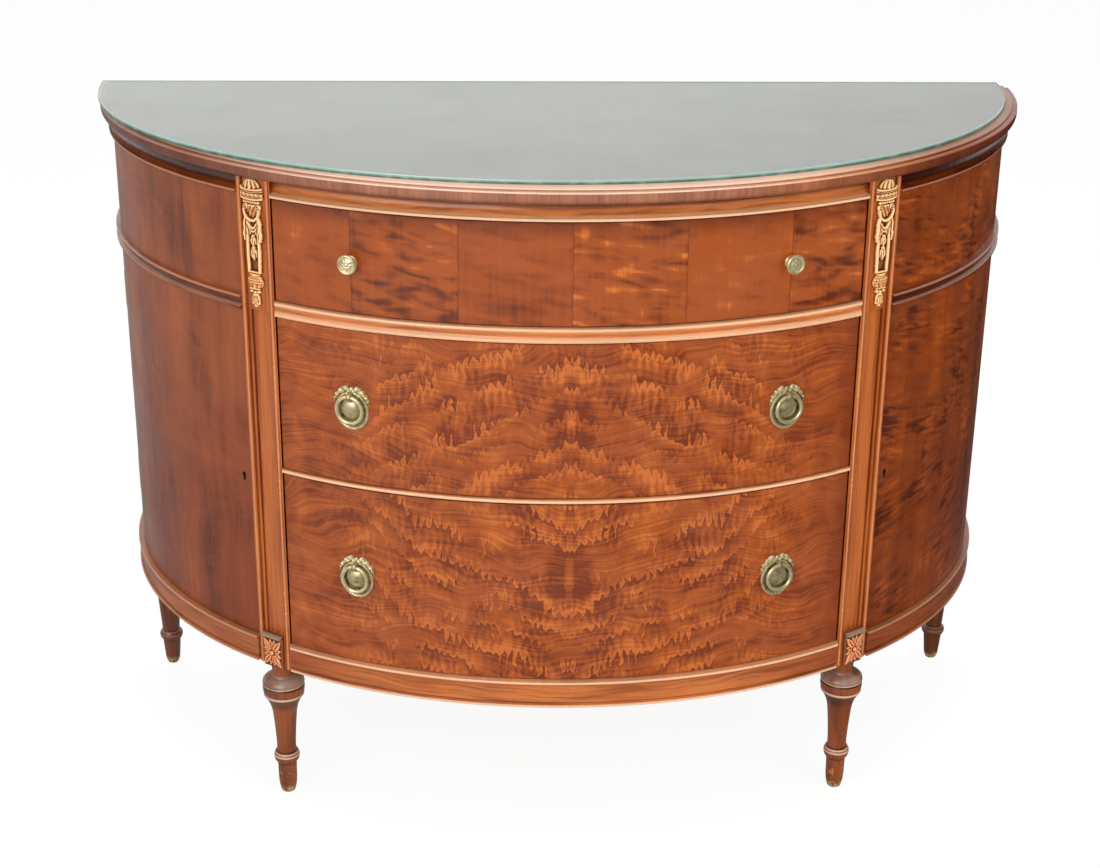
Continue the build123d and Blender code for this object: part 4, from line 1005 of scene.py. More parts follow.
@dataclass(frozen=True)
class LegWood(Finish):
    """Dark turned legs with painted highlights and rubbed wear on the beads, painted shade in the
    grooves, under the bead and on the rear legs, a painted sheen on the dome, and worn brassy toes.

    Levels and half widths of the crests and of the painted groove shade are millimetres above the floor.
    """

    name: str = "leg_wood"
    dark: tuple[float, ...] = tone(94, 43, 14)
    mid: tuple[float, ...] = tone(150, 76, 30)
    pale: tuple[float, ...] = tone(220, 186, 162)
    front_crests: tuple[tuple[float, float], ...] = (
        (168.4, 1.0),
        (152.4, 2.4),
        (61.4, 1.5),
        (57.6, 2.0),
    )
    rear_crests: tuple[tuple[float, float], ...] = ((54.5, 1.5), (49.5, 2.4))
    front_groove_shade: tuple[tuple[float, float], ...] = (
        (165.8, 1.8),
        (155.0, 1.0),
        (149.0, 1.0),
        (63.6, 1.2),
        (46.2, 1.4),
    )
    rear_groove_shade: tuple[tuple[float, float], ...] = ((56.4, 1.0), (40.3, 1.0))
    polish: Polish = Polish(roughness=0.28, coat=0.5)

    def paint(self, surface: Surface) -> None:
        """Draws the finish.

        Args:
            surface: The material being made.
        """
        graph = surface.graph
        x, y, z = graph.split(graph.place())
        front = graph.span(y, 0.1, 0.0)
        grain = surface.grain(z, x, y, 0.5, 0.5)
        spot = graph.join(x * 30.0, y * 30.0, z * 9.0)
        tonal = graph.noise(spot, 1.0, 3.0)
        value = (grain["Streak"] - 0.5) * 0.2 + tonal
        color = graph.mix(graph.span(value, 0.2, 0.7), self.dark, self.mid)
        # Painted sheen on the dome's shoulder, grey and patchy.
        dome_sheen = graph.span(z, 0.166, 0.172) * graph.span(z, 0.184, 0.178)
        dome_sheen = dome_sheen * graph.span(tonal, 0.3, 0.7, 0.1, 0.75)
        color = graph.mix(dome_sheen, color, tone(158, 144, 134))
        # Painted shade under the bead of the front legs.
        under = graph.span(z, 0.128, 0.14) * graph.span(z, 0.15, 0.147)
        color = surface.dims(color, under * (front * 0.6), tone(128, 112, 96))
        # Painted highlights along the crests, with rubbed wear on them, fainter on the rear legs.
        front_crest = surface.lines(z, self.front_crests)
        crest = graph.blend(front, surface.lines(z, self.rear_crests), front_crest)
        wear = surface.wear(crest, 0.8, x, z)
        soft = wear["Rubbed"] * 0.3 + crest * 0.5
        color = graph.mix(soft * graph.blend(front, 0.4, 1.0), color, self.pale)
        # Painted shade on the rear legs.
        color = surface.dims(color, front * -0.6 + 0.6, tone(150, 124, 108))
        # Painted shade in the grooves between the turned parts.
        front_groove_shade = surface.lines(z, self.front_groove_shade)
        groove_shade = graph.blend(front, surface.lines(z, self.rear_groove_shade), front_groove_shade)
        color = surface.dims(color, groove_shade * 0.75, tone(70, 46, 38))
        chips = graph.noise(graph.join(x, y, z), 170.0, 3.0)
        worn = graph.span(z, 0.044, 0.03) * graph.span(chips, 0.56, 0.66, 0.0, 0.6)
        color = graph.mix(worn * front, color, tone(206, 138, 80))
        toe = graph.span(z, 0.013, 0.005) * graph.span(chips, 0.35, 0.55)
        color = graph.mix(toe, color, tone(172, 150, 96))
        self.polish.apply(surface, color, grain["Streak"], 0.00005)


@dataclass(frozen=True)
class PlainWood(Finish):
    """Unpolished wood for what stands inside the case."""

    name: str = "inner_wood"
    dark: tuple[float, ...] = tone(150, 116, 78)
    mid: tuple[float, ...] = tone(192, 158, 114)
    upright: bool = False

    def paint(self, surface: Surface) -> None:
        """Draws the finish.

        Args:
            surface: The material being made.
        """
        graph = surface.graph
        x, y, z = graph.split(graph.place())
        along, across = (z, x) if self.upright else (x, z)
        grain = surface.grain(along, across, y, 0.5, 0.7)
        stretched = graph.join(along * 1.2, across * 18.0, y)
        tonal = graph.noise(stretched, 1.0, 3.0, 0.5, 0.1)
        value = (grain["Streak"] - 0.5) * 0.3 + tonal
        color = graph.mix(graph.span(value, 0.2, 0.8), self.dark, self.mid)
        color = surface.dims(color, grain["Pore"] * 0.3, tone(150, 120, 90))
        stain = graph.span(graph.noise(graph.join(x, y, z), 5.0, 4.0, 0.6), 0.5, 0.75, 0.0, 0.35)
        color = surface.dims(color, stain, tone(150, 120, 95))
        Polish(roughness=0.62, coat=0.0).apply(surface, color, grain["Streak"], 0.00012)


@dataclass(frozen=True)
class GiltCarving(Finish):
    """Pale gilt-toned carving, with painted highlight where it is high and painted shade where it is
    deep.
    """

    name: str = "carving"
    deep: tuple[float, ...] = tone(92, 42, 14)
    mid: tuple[float, ...] = tone(202, 128, 64)
    high: tuple[float, ...] = tone(250, 208, 150)

    def paint(self, surface: Surface) -> None:
        """Draws the finish.

        Args:
            surface: The material being made.
        """
        graph = surface.graph
        place = graph.place()
        # The relief mark carries painted light: lighter on high points and crests, darker in hollows.
        relief = graph.mark("relief")
        gilt = graph.mark("gilt")
        patch = graph.noise(place, 240.0, 3.0, 0.6)
        value = (patch - 0.5) * 0.5 + relief
        color = graph.shades(value, self.deep, (0.08, 0.48, self.mid), (0.46, 0.92, self.high))
        level = graph.split(place)[2]
        low = graph.span(level, CASE.base_top * MM + 0.03, CASE.base_top * MM + 0.02)
        color = surface.dims(color, low, tone(244, 202, 186))
        # The block's own wood: brown, greyer on its cap.
        cap = graph.span(level, CASE.base_top * MM + 0.0045, CASE.base_top * MM + 0.0055)
        worn = graph.mix(cap, tone(150, 84, 52), tone(150, 124, 104))
        wood = graph.mix(graph.span(value, 0.2, 0.8), tone(96, 44, 22), worn)
        color = graph.mix(gilt, wood, color)
        surface.set(
            Base_Color=color,
            Roughness=graph.span(patch, 0.3, 0.7, 0.4, 0.58),
            Normal=graph.bump(patch, 0.00012),
        )


class Metal(Enum):
    """The metals of the fittings: base tone, tarnish tone and roughness."""

    BRASS = ("brass", (252, 238, 188), (104, 84, 36), 0.3)
    LINER = ("dark_brass", (112, 96, 62), (40, 32, 22), 0.42)
    STEEL = ("steel", (150, 148, 142), (84, 80, 76), 0.36)


@dataclass(frozen=True)
class AgedMetal(Finish):
    """Metal with tarnish in patches and fine scratches."""

    metal: Metal

    @property
    def name(self) -> str:
        """Gives the metal's name."""
        return self.metal.value[0]

    def paint(self, surface: Surface) -> None:
        """Draws the finish.

        Args:
            surface: The material being made.
        """
        graph = surface.graph
        bright, dull, rough = self.metal.value[1:]
        place = graph.place()
        patch = graph.noise(place, 130.0, 4.0, 0.6)
        scratch = graph.noise(place, 900.0, 2.0, 0.7)
        relief = graph.mark("tarnish")
        patches = graph.span(patch, 0.46, 0.72, 0.0, 0.45)
        share = graph.math("ADD", patches, relief * 0.85, clamp=True)
        surface.set(
            Base_Color=graph.mix(share, tone(*bright), tone(*dull)),
            Metallic=0.78,
            Roughness=share * 0.25 + rough,
            Normal=graph.bump(scratch * 0.3 + patch, 0.00006),
        )


class GlassSide(Enum):
    """The two finishes of the glass sheet."""

    SHEET = "glass"
    RIM = "glass_rim"


@dataclass(frozen=True)
class SheetGlass(Finish):
    """Clear sheet glass that lets the light through to the wood below."""

    side: GlassSide

    @property
    def name(self) -> str:
        """Gives the name of this side's finish."""
        return self.side.value

    def paint(self, surface: Surface) -> None:
        """Draws the finish of this side.

        Args:
            surface: The material being made.
        """
        if self.side is GlassSide.RIM:
            self.paint_rim(surface)
        else:
            self.paint_sheet(surface)

    def paint_rim(self, surface: Surface) -> None:
        """Draws the green of the sheet's ground edge.

        Args:
            surface: The material being made.
        """
        graph = surface.graph
        place = graph.place()
        haze = graph.noise(place, 60.0, 3.0)
        sheet_bottom = CASE.top_height * MM
        deep = graph.span(graph.split(place)[2], sheet_bottom + 0.0045, sheet_bottom + 0.0005)
        color = graph.mix(deep, tone(150, 186, 172), tone(40, 92, 84))
        color = graph.mix(graph.span(haze, 0.4, 0.7, 0.0, 0.25), color, tone(186, 210, 200))
        surface.set(
            Base_Color=color,
            Roughness=graph.span(haze, 0.3, 0.7, 0.1, 0.22),
            Coat_Weight=0.6,
            Coat_Roughness=0.05,
        )

    def paint_sheet(self, surface: Surface) -> None:
        """Draws clear, slightly smeared glass that lets shadow rays through.

        Args:
            surface: The material being made.
        """
        graph = surface.graph
        smear = graph.noise(graph.place(), 6.0, 4.0, 0.6)
        surface.set(
            Base_Color=tone(240, 250, 246),
            Roughness=graph.span(smear, 0.35, 0.75, 0.02, 0.09),
            IOR=1.5,
            Transmission_Weight=1.0,
        )
        clear = graph.made("ShaderNodeBsdfTransparent", {0: tone(236, 246, 242)})
        graph.layer(graph.rays("Shadow", "Diffuse"), clear)


class Finishes:
    """Every material of the cabinet, built once."""

    def __init__(self) -> None:
        """Builds the shared groups and the materials."""
        effects = SharedEffects()
        self.flame = FlameVeneer().build(effects)
        self.segments = SegmentVeneer().build(effects)
        self.side = SideVeneer().build(effects)
        self.moulding = MouldingWood().build(effects)
        self.pilaster = PilasterWood().build(effects)
        self.top = TopWood().build(effects)
        self.leg = LegWood().build(effects)
        self.plain = PlainWood().build(effects)
        self.upright = PlainWood(name="inner_upright_wood", upright=True).build(effects)
        self.carving = GiltCarving().build(effects)
        self.brass = AgedMetal(Metal.BRASS).build(effects)
        self.liner = AgedMetal(Metal.LINER).build(effects)
        self.steel = AgedMetal(Metal.STEEL).build(effects)
        self.glass = SheetGlass(GlassSide.SHEET).build(effects)
        self.glass_rim = SheetGlass(GlassSide.RIM).build(effects)


# Mesh helpers


Point = tuple[float, float, float]
SIDES = (-1.0, 1.0)


def linked(name: str, data: bpy.types.ID) -> bpy.types.Object:
    """Makes an object of a mesh, a light or a camera and links it to the scene."""
    made = bpy.data.objects.new(name, data)
    bpy.context.scene.collection.objects.link(made)
    return made


def turn_angles(count: int) -> list[float]:
    """Gives evenly spaced angles round a full turn."""
    return [2 * math.pi * step / count for step in range(count)]


@dataclass
class Shape:
    """Points and faces that become one mesh, in local millimetres."""

    points: list[Point] = field(default_factory=list)
    faces: list[tuple[int, ...]] = field(default_factory=list)
    marks: dict[str, list[float]] = field(default_factory=dict)

    def add(self, points: Iterable[Point], faces: Iterable[Sequence[int]], **marks: float) -> None:
        """Adds a piece.

        Args:
            points: Its points.
            faces: Its faces, as places in those points.
            marks: A value for each named attribute of its points.
        """
        start = len(self.points)
        self.points.extend(points)
        self.faces.extend(tuple(start + corner for corner in face) for face in faces)
        added = len(self.points) - start
        for name in set(self.marks) | set(marks):
            values = self.marks.setdefault(name, [0.0] * start)
            values.extend([marks.get(name, 0.0)] * added)

    def skin(
        self,
        rings: Sequence[Sequence[Point]],
        closed: bool = False,
        capped: bool = False,
        **marks: float,
    ) -> None:
        """Joins rings of points with faces.

        Args:
            rings: The points of each ring; a ring of one point is a tip.
            closed: Whether the last ring joins the first.
            capped: Whether the end rings are filled.
            marks: A value for each named attribute.
        """
        points: list[Point] = []
        numbers: list[range] = []
        for ring in rings:
            numbers.append(range(len(points), len(points) + len(ring)))
            points.extend(ring)
        faces = list(ring_faces(numbers, closed))
        if capped:
            faces += [tuple(numbers[0]), tuple(reversed(numbers[-1]))]
        self.add(points, faces, **marks)

    def lathe(
        self,
        profile: Sequence[tuple[float, float]],
        segments: int,
        centre: tuple[float, float] = (0.0, 0.0),
        squash: tuple[float, float] = (1.0, 1.0),
        ripple: Callable[[float, int], float] | None = None,
        **marks: float,
    ) -> None:
        """Turns a profile of radius and height about the Z axis.

        Args:
            profile: Radius and height of each ring; a radius of 0 closes it.
            segments: Number of points in a ring.
            centre: Where the axis stands.
            squash: Scale of the rings along X and Y.
            ripple: Extra height for an angle and a ring number.
            marks: A value for each named attribute.
        """
        rings: list[list[Point]] = []
        for number, (radius, height) in enumerate(profile):
            ring = []
            for angle in turn_angles(segments if radius else 1):
                x = centre[0] + radius * squash[0] * math.cos(angle)
                y = centre[1] + radius * squash[1] * math.sin(angle)
                ring.append((x, y, height + (ripple(angle, number) if ripple and radius else 0.0)))
            rings.append(ring)
        self.skin(rings, **marks)

    def tube(
        self,
        path: Sequence[Point],
        radius: Callable[[float], tuple[float, float]],
        sides: int,
        **marks: float,
    ) -> None:
        """Runs an oval section along a path.

        Args:
            path: Points along the middle of the tube.
            radius: Half width and half height of the section for a share of the path.
            sides: Number of points round the section.
            marks: A value for each named attribute.
        """
        line = [Vector(point) for point in path]
        last = len(line) - 1
        rings: list[list[Point]] = []
        for number, middle in enumerate(line):
            ahead = (line[min(number + 1, last)] - line[max(number - 1, 0)]).normalized()
            side = ahead.cross(Vector((0.0, 0.0, 1.0)))
            side = side.normalized() if side.length > TINY else Vector((1.0, 0.0, 0.0))
            up = side.cross(ahead).normalized()
            wide, high = radius(number / last)
            ring = []
            for angle in turn_angles(sides):
                spot = middle + side * (wide * math.cos(angle)) + up * (high * math.sin(angle))
                ring.append(tuple(spot))
            rings.append(ring)
        self.skin(rings, capped=True, **marks)

    def finish(
        self,
        name: str,
        matrices: Sequence[Matrix],
        material: bpy.types.Material,
        angle: float,
    ) -> bpy.types.Object:
        """Makes one object of copies of the shape.

        Args:
            name: Name of the piece.
            matrices: Where each copy stands, in millimetres of the case.
            material: Its finish.
            angle: Edges sharper than this stay sharp.

        Returns:
            The finished piece, with its place in its mesh.
        """
        mesh = bpy.data.meshes.new(name)
        points = np.array(self.points, float)
        everything = []
        faces: list[tuple[int, ...]] = []
        for number, matrix in enumerate(matrices):
            turn = np.array(matrix)
            moved = points @ turn[:3, :3].T + turn[:3, 3]
            everything.append(moved * MM)
            shift = number * len(points)
            flip = matrix.to_3x3().determinant() < 0
            for face in self.faces:
                corners = tuple(corner + shift for corner in face)
                faces.append(corners[::-1] if flip else corners)
        mesh.from_pydata(np.concatenate(everything).tolist(), [], faces)
        for label, values in self.marks.items():
            layer = mesh.attributes.new(label, "FLOAT", "POINT")
            layer.data.foreach_set("value", list(values) * len(matrices))
        mesh.materials.append(material)
        mesh.shade_smooth()
        mesh.set_sharp_from_angle(angle=math.radians(angle))
        mesh.validate()
        return linked(name, mesh)


def ring_faces(rings: Sequence[Sequence[int]], closed: bool = False) -> Iterable[tuple[int, ...]]:
    """Joins rings of points with faces.

    Args:
        rings: Point numbers, ring by ring; a ring of one point is a tip.
        closed: Whether the last ring joins the first.

    Yields:
        One face at a time.
    """
    pairs = list(zip(rings, rings[1:]))
    if closed:
        pairs.append((rings[-1], rings[0]))
    for low, high in pairs:
        count = max(len(low), len(high))
        for step in range(count):
            after = (step + 1) % count
            if len(low) == 1:
                yield (low[0], high[after], high[step])
            elif len(high) == 1:
                yield (low[step], low[after], high[0])
            else:
                yield (low[step], low[after], high[after], high[step])


def mirrored(matrix: Matrix) -> Matrix:
    """Gives the same place on the other side of the case."""
    return Matrix.Scale(-1.0, 4, Vector((1.0, 0.0, 0.0))) @ matrix


def merged(name: str, parts: Sequence[bpy.types.Object]) -> bpy.types.Object:
    """Joins several objects at the origin into one.

    Args:
        name: Name of the joined piece.
        parts: What is joined; they are used up.

    Returns:
        The joined piece.
    """
    with bpy.context.temp_override(
        active_object=parts[0], object=parts[0], selected_editable_objects=list(parts)
    ):
        bpy.ops.object.join()
    parts[0].name = name
    parts[0].data.name = name
    return parts[0]


# Carving


def bow(share: np.ndarray) -> np.ndarray:
    """Gives the height of a round back, 1 at its middle and 0 from a share of 1 on."""
    return np.sqrt(np.clip(1.0 - share**2, 0.0, None))


class Carver:
    """Works a relief as heights over a flat grid, in millimetres."""

    def __init__(self, half_width: float, low: float, high: float, cell: float) -> None:
        """Lays out the grid.

        Args:
            half_width: Half the width of the grid.
            low: Lowest level.
            high: Highest level.
            cell: Size of a cell.
        """
        self.across = np.arange(-half_width, half_width + cell, cell)
        self.levels = np.arange(low, high + cell, cell)
        self.u, self.v = np.meshgrid(self.across, self.levels)
        self.height = np.zeros_like(self.u)

    def raise_to(self, *heights: np.ndarray) -> None:
        """Raises the relief where a given height is greater."""
        for height in heights:
            self.height = np.maximum(self.height, height)

    def fill(self, inside: np.ndarray, height: np.ndarray | float) -> None:
        """Raises the relief to a height inside a mask."""
        self.raise_to(np.where(inside, height, 0.0))

    def both(self, *heights: np.ndarray) -> None:
        """Raises the relief to the given heights and to their mirror images."""
        for height in heights:
            self.raise_to(height, height[:, ::-1])

    def dome(
        self,
        centre: tuple[float, float],
        radii: tuple[float, float],
        height: float,
        turn: float = 0.0,
    ) -> np.ndarray:
        """Gives the height of an oval dome.

        Args:
            centre: Its middle.
            radii: Its half width and half height before it is turned.
            height: How far it stands out.
            turn: Its turn in degrees.

        Returns:
            Heights over the grid.
        """
        angle = math.radians(turn)
        du, dv = self.u - centre[0], self.v - centre[1]
        a = (du * math.cos(angle) + dv * math.sin(angle)) / radii[0]
        b = (-du * math.sin(angle) + dv * math.cos(angle)) / radii[1]
        return height * np.sqrt(np.clip(1.0 - a * a - b * b, 0.0, None))

    def leaf(
        self, base: tuple[float, float], tip: tuple[float, float], width: float, height: float
    ) -> np.ndarray:
        """Gives the height of a pointed leaf with a groove along its middle.

        Args:
            base: Where it starts.
            tip: Where it ends.
            width: Its greatest width.
            height: How far it stands out.

        Returns:
            Heights over the grid.
        """
        way = np.array(tip) - np.array(base)
        length = float(np.hypot(*way))
        way = way / length
        along = ((self.u - base[0]) * way[0] + (self.v - base[1]) * way[1]) / length
        off = (self.u - base[0]) * -way[1] + (self.v - base[1]) * way[0]
        half = width / 2 * np.sin(np.pi * np.clip(along, 0.0, 1.0) ** 0.75)
        share = np.abs(off) / np.maximum(half, TINY)
        groove = 1.0 - 0.45 * np.exp(-((off / (0.14 * width)) ** 2))
        inside = (along > 0.0) & (along < 1.0)
        return np.where(inside, height * bow(share) * groove, 0.0)

    def ridge(
        self, path: Sequence[tuple[float, float]], radius: float, height: float
    ) -> np.ndarray:
        """Gives the height of a round ridge along a path.

        Args:
            path: Its corners.
            radius: Its half width.
            height: How far it stands out.

        Returns:
            Heights over the grid.
        """
        best = np.full_like(self.u, 1e9)
        for (u0, v0), (u1, v1) in zip(path, path[1:]):
            du, dv = u1 - u0, v1 - v0
            length = du * du + dv * dv
            share = np.clip(((self.u - u0) * du + (self.v - v0) * dv) / length, 0.0, 1.0)
            off = np.hypot(self.u - u0 - share * du, self.v - v0 - share * dv)
            best = np.minimum(best, off)
        return height * bow(best / radius)

    def shape(self, gilt: np.ndarray, full: float) -> Shape:
        """Makes a closed mesh of what stands up from the grid.

        Args:
            gilt: Share of gilding over the grid.
            full: Height that counts as the top.

        Returns:
            The shape, with its relief, which carries painted highlight and shade, and its gilt marked on
            its points.
        """
        high = self.height > 0.02
        cells = high[:-1, :-1] | high[1:, :-1] | high[:-1, 1:] | high[1:, 1:]
        rows, columns = self.u.shape
        number = np.arange(rows * columns).reshape(rows, columns)
        used = np.zeros(rows * columns, bool)
        corner = (number[:-1, :-1], number[:-1, 1:], number[1:, 1:], number[1:, :-1])
        quads = np.stack([c[cells] for c in corner], axis=1)
        used[quads.ravel()] = True
        place = np.cumsum(used) - 1
        keep = np.flatnonzero(used)
        u, v, h = self.u.ravel()[keep], self.v.ravel()[keep], self.height.ravel()[keep]
        # Painted light for the relief mark: higher points and crests lighter, hollows darker, the back
        # darkest.
        soft = (self.height - box_blur(self.height, 5)).ravel()[keep]
        relief = np.clip(0.2 + 0.42 * h / full + 0.62 * soft, 0.0, 1.0)
        made = Shape()
        count = len(keep)
        top = np.stack([u, v, h], axis=1)
        bottom = np.stack([u, v, np.zeros_like(u)], axis=1)
        made.points = [tuple(p) for p in np.concatenate([top, bottom]).tolist()]
        front = place[quads]
        made.faces = [tuple(face) for face in front.tolist()]
        made.faces += [tuple(face) for face in (front[:, ::-1] + count).tolist()]
        sides = np.concatenate([front[:, [a, (a + 1) % 4]] for a in range(4)])
        known = {tuple(edge) for edge in sides.tolist()}
        for a, b in known:
            if (b, a) not in known:
                made.faces.append((b, a, a + count, b + count))
        gilded = gilt.ravel()[keep]
        made.marks = {
            "relief": np.concatenate([relief, relief * 0.0]).tolist(),
            "gilt": np.concatenate([gilded, gilded]).tolist(),
        }
        return made


def box_blur(values: np.ndarray, reach: int) -> np.ndarray:
    """Gives the mean of each value's neighbours.

    Args:
        values: A grid of values.
        reach: How many neighbours on each side.

    Returns:
        The blurred grid.
    """
    padded = np.pad(values, reach, mode="edge")
    total = np.zeros_like(values)
    width = 2 * reach + 1
    for row in range(width):
        for column in range(width):
            total += padded[row : row + values.shape[0], column : column + values.shape[1]]
    return total / width**2


@dataclass
class CarvedDrops:
    """The carved drops at the tops of the two pilasters.

    Places and sizes are millimetres, across from the middle and up from the drop's top.
    """

    half_width: float = 17.2
    length: float = 163.6
    cell: float = 0.4
    cap_size: tuple[float, float, float] = (14.2, 12.6, 7.2)
    swag_middle: float = -39.5
    swag_radius: float = 12.6
    urn_top: float = -120.4
    urn_foot: float = -138.8
    top: float = high_corner("carved_drops").z

    def build(self, finishes: Finishes) -> bpy.types.Object:
        """Carves the drop, sets it on both pilasters and gives the piece."""
        carver = Carver(self.half_width, -self.length, 0.0, self.cell)
        self.cap(carver)
        self.collar(carver)
        self.swag(carver)
        self.drapery(carver)
        self.ribbons(carver)
        self.urn(carver)
        self.husk(carver)
        shape = carver.shape(np.ones_like(carver.u), 7.5)
        place = CASE.pilaster_matrix(self.top)
        piece = shape.finish("carved_drop_relief", (place, mirrored(place)), finishes.carving, 60.0)
        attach(piece, "case")
        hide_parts("carved_drops")
        return piece

    def cap(self, carver: Carver) -> None:
        """Carves the reeded dome at the top."""
        half_width, depth, height = self.cap_size
        rise = np.clip((carver.v + depth) / depth, 0.0, 1.0)
        half = half_width * bow(rise**0.9) + 0.01
        across = np.clip(carver.u / half, -1.0, 1.0)
        reeds = 0.7 + 0.3 * np.abs(np.cos(6.0 * np.arcsin(across)))
        body = height * bow(across) * reeds
        inside = (np.abs(carver.u) < half) & (carver.v > -depth)
        carver.fill(inside, body)

    def collar(self, carver: Carver) -> None:
        """Carves the pierced collar between its two rims, and the beads under it."""
        round_in = bow(carver.u / 17.6) ** 0.6
        level = carver.v - 0.006 * carver.u**2
        wide = np.abs(carver.u) < 16.6
        carver.fill(wide & (level > -26.6) & (level < -12.0), 3.2 * round_in)
        rims = ((-13.6, 1.9, 7.9), (-16.6, 0.8, 6.4), (-23.2, 0.8, 6.4), (-25.4, 1.8, 7.9))
        for middle, radius, height in rims:
            rim = height * bow((level - middle) / radius)
            carver.fill(wide, rim * round_in)
        for number in range(-2, 3):
            centre = (number * 6.3, -19.9)
            for side in SIDES:
                spot = (centre[0] + side * 3.1, centre[1])
                for turn in (40.0, -40.0):
                    carver.raise_to(carver.dome(spot, (1.0, 4.0), 7.2, turn) * round_in)
            carver.raise_to(carver.dome(centre, (1.5, 1.7), 7.0) * round_in)
        for number in range(-3, 4):
            carver.raise_to(carver.dome((number * 3.5, -29.0), (1.7, 2.5), 6.2))
        backing = (np.abs(carver.u) < 11.5) & (level > -31.0) & (level < -26.0)
        carver.fill(backing, 2.6)

    def swag(self, carver: Carver) -> None:
        """Carves the two rosette rings and the bowl-like swag that hangs between them."""
        for side in SIDES:
            centre = (side * 9.6, -35.6)
            ring = carver.dome(centre, (4.2, 4.2), 6.6) - 1.2 * carver.dome(centre, (2.5, 2.5), 4.6)
            carver.raise_to(ring, carver.dome(centre, (1.4, 1.4), 5.6))
        off = np.hypot(carver.u / 0.88, carver.v - self.swag_middle)
        angle = np.arctan2(carver.u, self.swag_middle - carver.v)
        under = carver.v < -33.0
        bowl = 1.0 + 2.6 * np.clip(1.0 - ((off - 3.0) / 9.0) ** 2, 0.0, None)
        folds = 0.45 * np.cos(carver.u * 1.1 + 0.5 * carver.v)
        carver.fill((off < 12.0) & under, bowl + folds)
        thick = 1.3 + 1.2 * np.clip(np.cos(angle), 0.0, 1.0)
        band = 7.0 * bow((off - self.swag_radius) / thick)
        carver.fill(under & (np.abs(angle) < 1.75), band)

    def drapery(self, carver: Carver) -> None:
        """Carves the folds that fall from the swag."""
        backing = (np.abs(carver.u) < 10.5) & (carver.v < -50.0) & (carver.v > -73.0)
        carver.fill(backing, 0.6)
        for lift, height in ((0.0, 5.6), (4.0, 4.6)):
            half = [(-7.6, -55.0 - lift), (-3.4, -60.6 - lift), (0.0, -62.4 - lift)]
            fold = half + [(-u, v) for u, v in half[-2::-1]]
            carver.raise_to(carver.ridge(fold, 1.9, height))
        outer = ((9.4, -49.0), (11.6, -56.0), (11.2, -64.0), (12.4, -70.0), (11.0, -77.0))
        inner = ((7.6, -52.0), (8.6, -62.0), (7.8, -71.0))
        carver.both(
            carver.ridge(outer, 2.3, 6.2),
            carver.ridge(inner, 1.7, 4.8),
            carver.leaf((10.6, -62.0), (14.0, -74.0), 4.4, 5.6),
            carver.leaf((2.6, -63.5), (6.2, -72.5), 3.6, 4.4),
        )

    def ribbons(self, carver: Carver) -> None:
        """Carves the two long ribbons and the bellflowers between them."""
        backing = (np.abs(carver.u) < 9.0) & (carver.v < -72.0) & (carver.v > -118.0)
        carver.fill(backing, 0.35)
        path = ((8.4, -72.0), (8.8, -90.0), (8.6, -104.0), (8.0, -117.0))
        carver.both(carver.ridge(path, 2.4, 5.2))
        for level, size in ((-72.0, 1.1), (-87.0, 1.25)):
            tip = (3.6 * size, level - 10.0 * size)
            carver.both(carver.leaf((0.2, level), tip, 4.6 * size, 5.2))
            carver.raise_to(
                carver.leaf((0.0, level), (0.0, level - 13.0 * size), 5.0 * size, 6.6),
                carver.dome((0.0, level), (2.2 * size, 2.0 * size), 5.8),
            )

    def urn(self, carver: Carver) -> None:
        """Carves the small urn with its band of scrolls."""
        level = carver.v
        rims = (
            (self.urn_top + 2.8, 8.6, 1.3, 5.8),
            (self.urn_top, 7.4, 1.1, 5.0),
            (self.urn_foot, 7.6, 1.3, 5.6),
        )
        for middle, half, radius, height in rims:
            rim = height * bow((level - middle) / radius)
            carver.fill(np.abs(carver.u) < half, rim)
        share = np.clip((level - self.urn_foot) / (self.urn_top - self.urn_foot), 0.0, 1.0)
        half = 6.6 + 6.2 * np.sin(np.pi * share**0.9)
        across = np.clip(carver.u / half, -1.0, 1.0)
        ribs = np.where(share < 0.38, 0.78 + 0.22 * np.abs(np.cos(5.0 * np.arcsin(across))), 1.0)
        body = 5.6 * bow(across) * ribs
        inside = (np.abs(carver.u) < half) & (level > self.urn_foot) & (level < self.urn_top)
        carver.fill(inside, body)
        for number in range(-3, 4):
            high_row = carver.dome((number * 3.2, -127.2), (1.5, 2.0), 7.2)
            carver.raise_to(high_row * bow(carver.u / 13.4))
        band = 6.2 * bow((level + 130.6) / 0.9)
        carver.fill(np.abs(carver.u) < 12.2, band * bow(across))

    def husk(self, carver: Carver) -> None:
        """Carves the three berries and the husk that hang from the urn."""
        for centre in ((-5.4, -142.2), (0.0, -143.4), (5.4, -142.2)):
            carver.raise_to(carver.dome(centre, (2.5, 2.4), 6.2))
        carver.both(
            carver.leaf((1.6, -145.0), (5.6, -158.5), 5.2, 5.2),
            carver.leaf((0.6, -146.0), (2.4, -162.4), 3.8, 6.2),
            carver.dome((4.6, -157.6), (1.6, 2.0), 5.0),
        )
        carver.raise_to(
            carver.dome((0.0, -146.4), (4.4, 3.4), 5.6), carver.dome((0.4, -161.0), (1.6, 2.3), 5.2)
        )


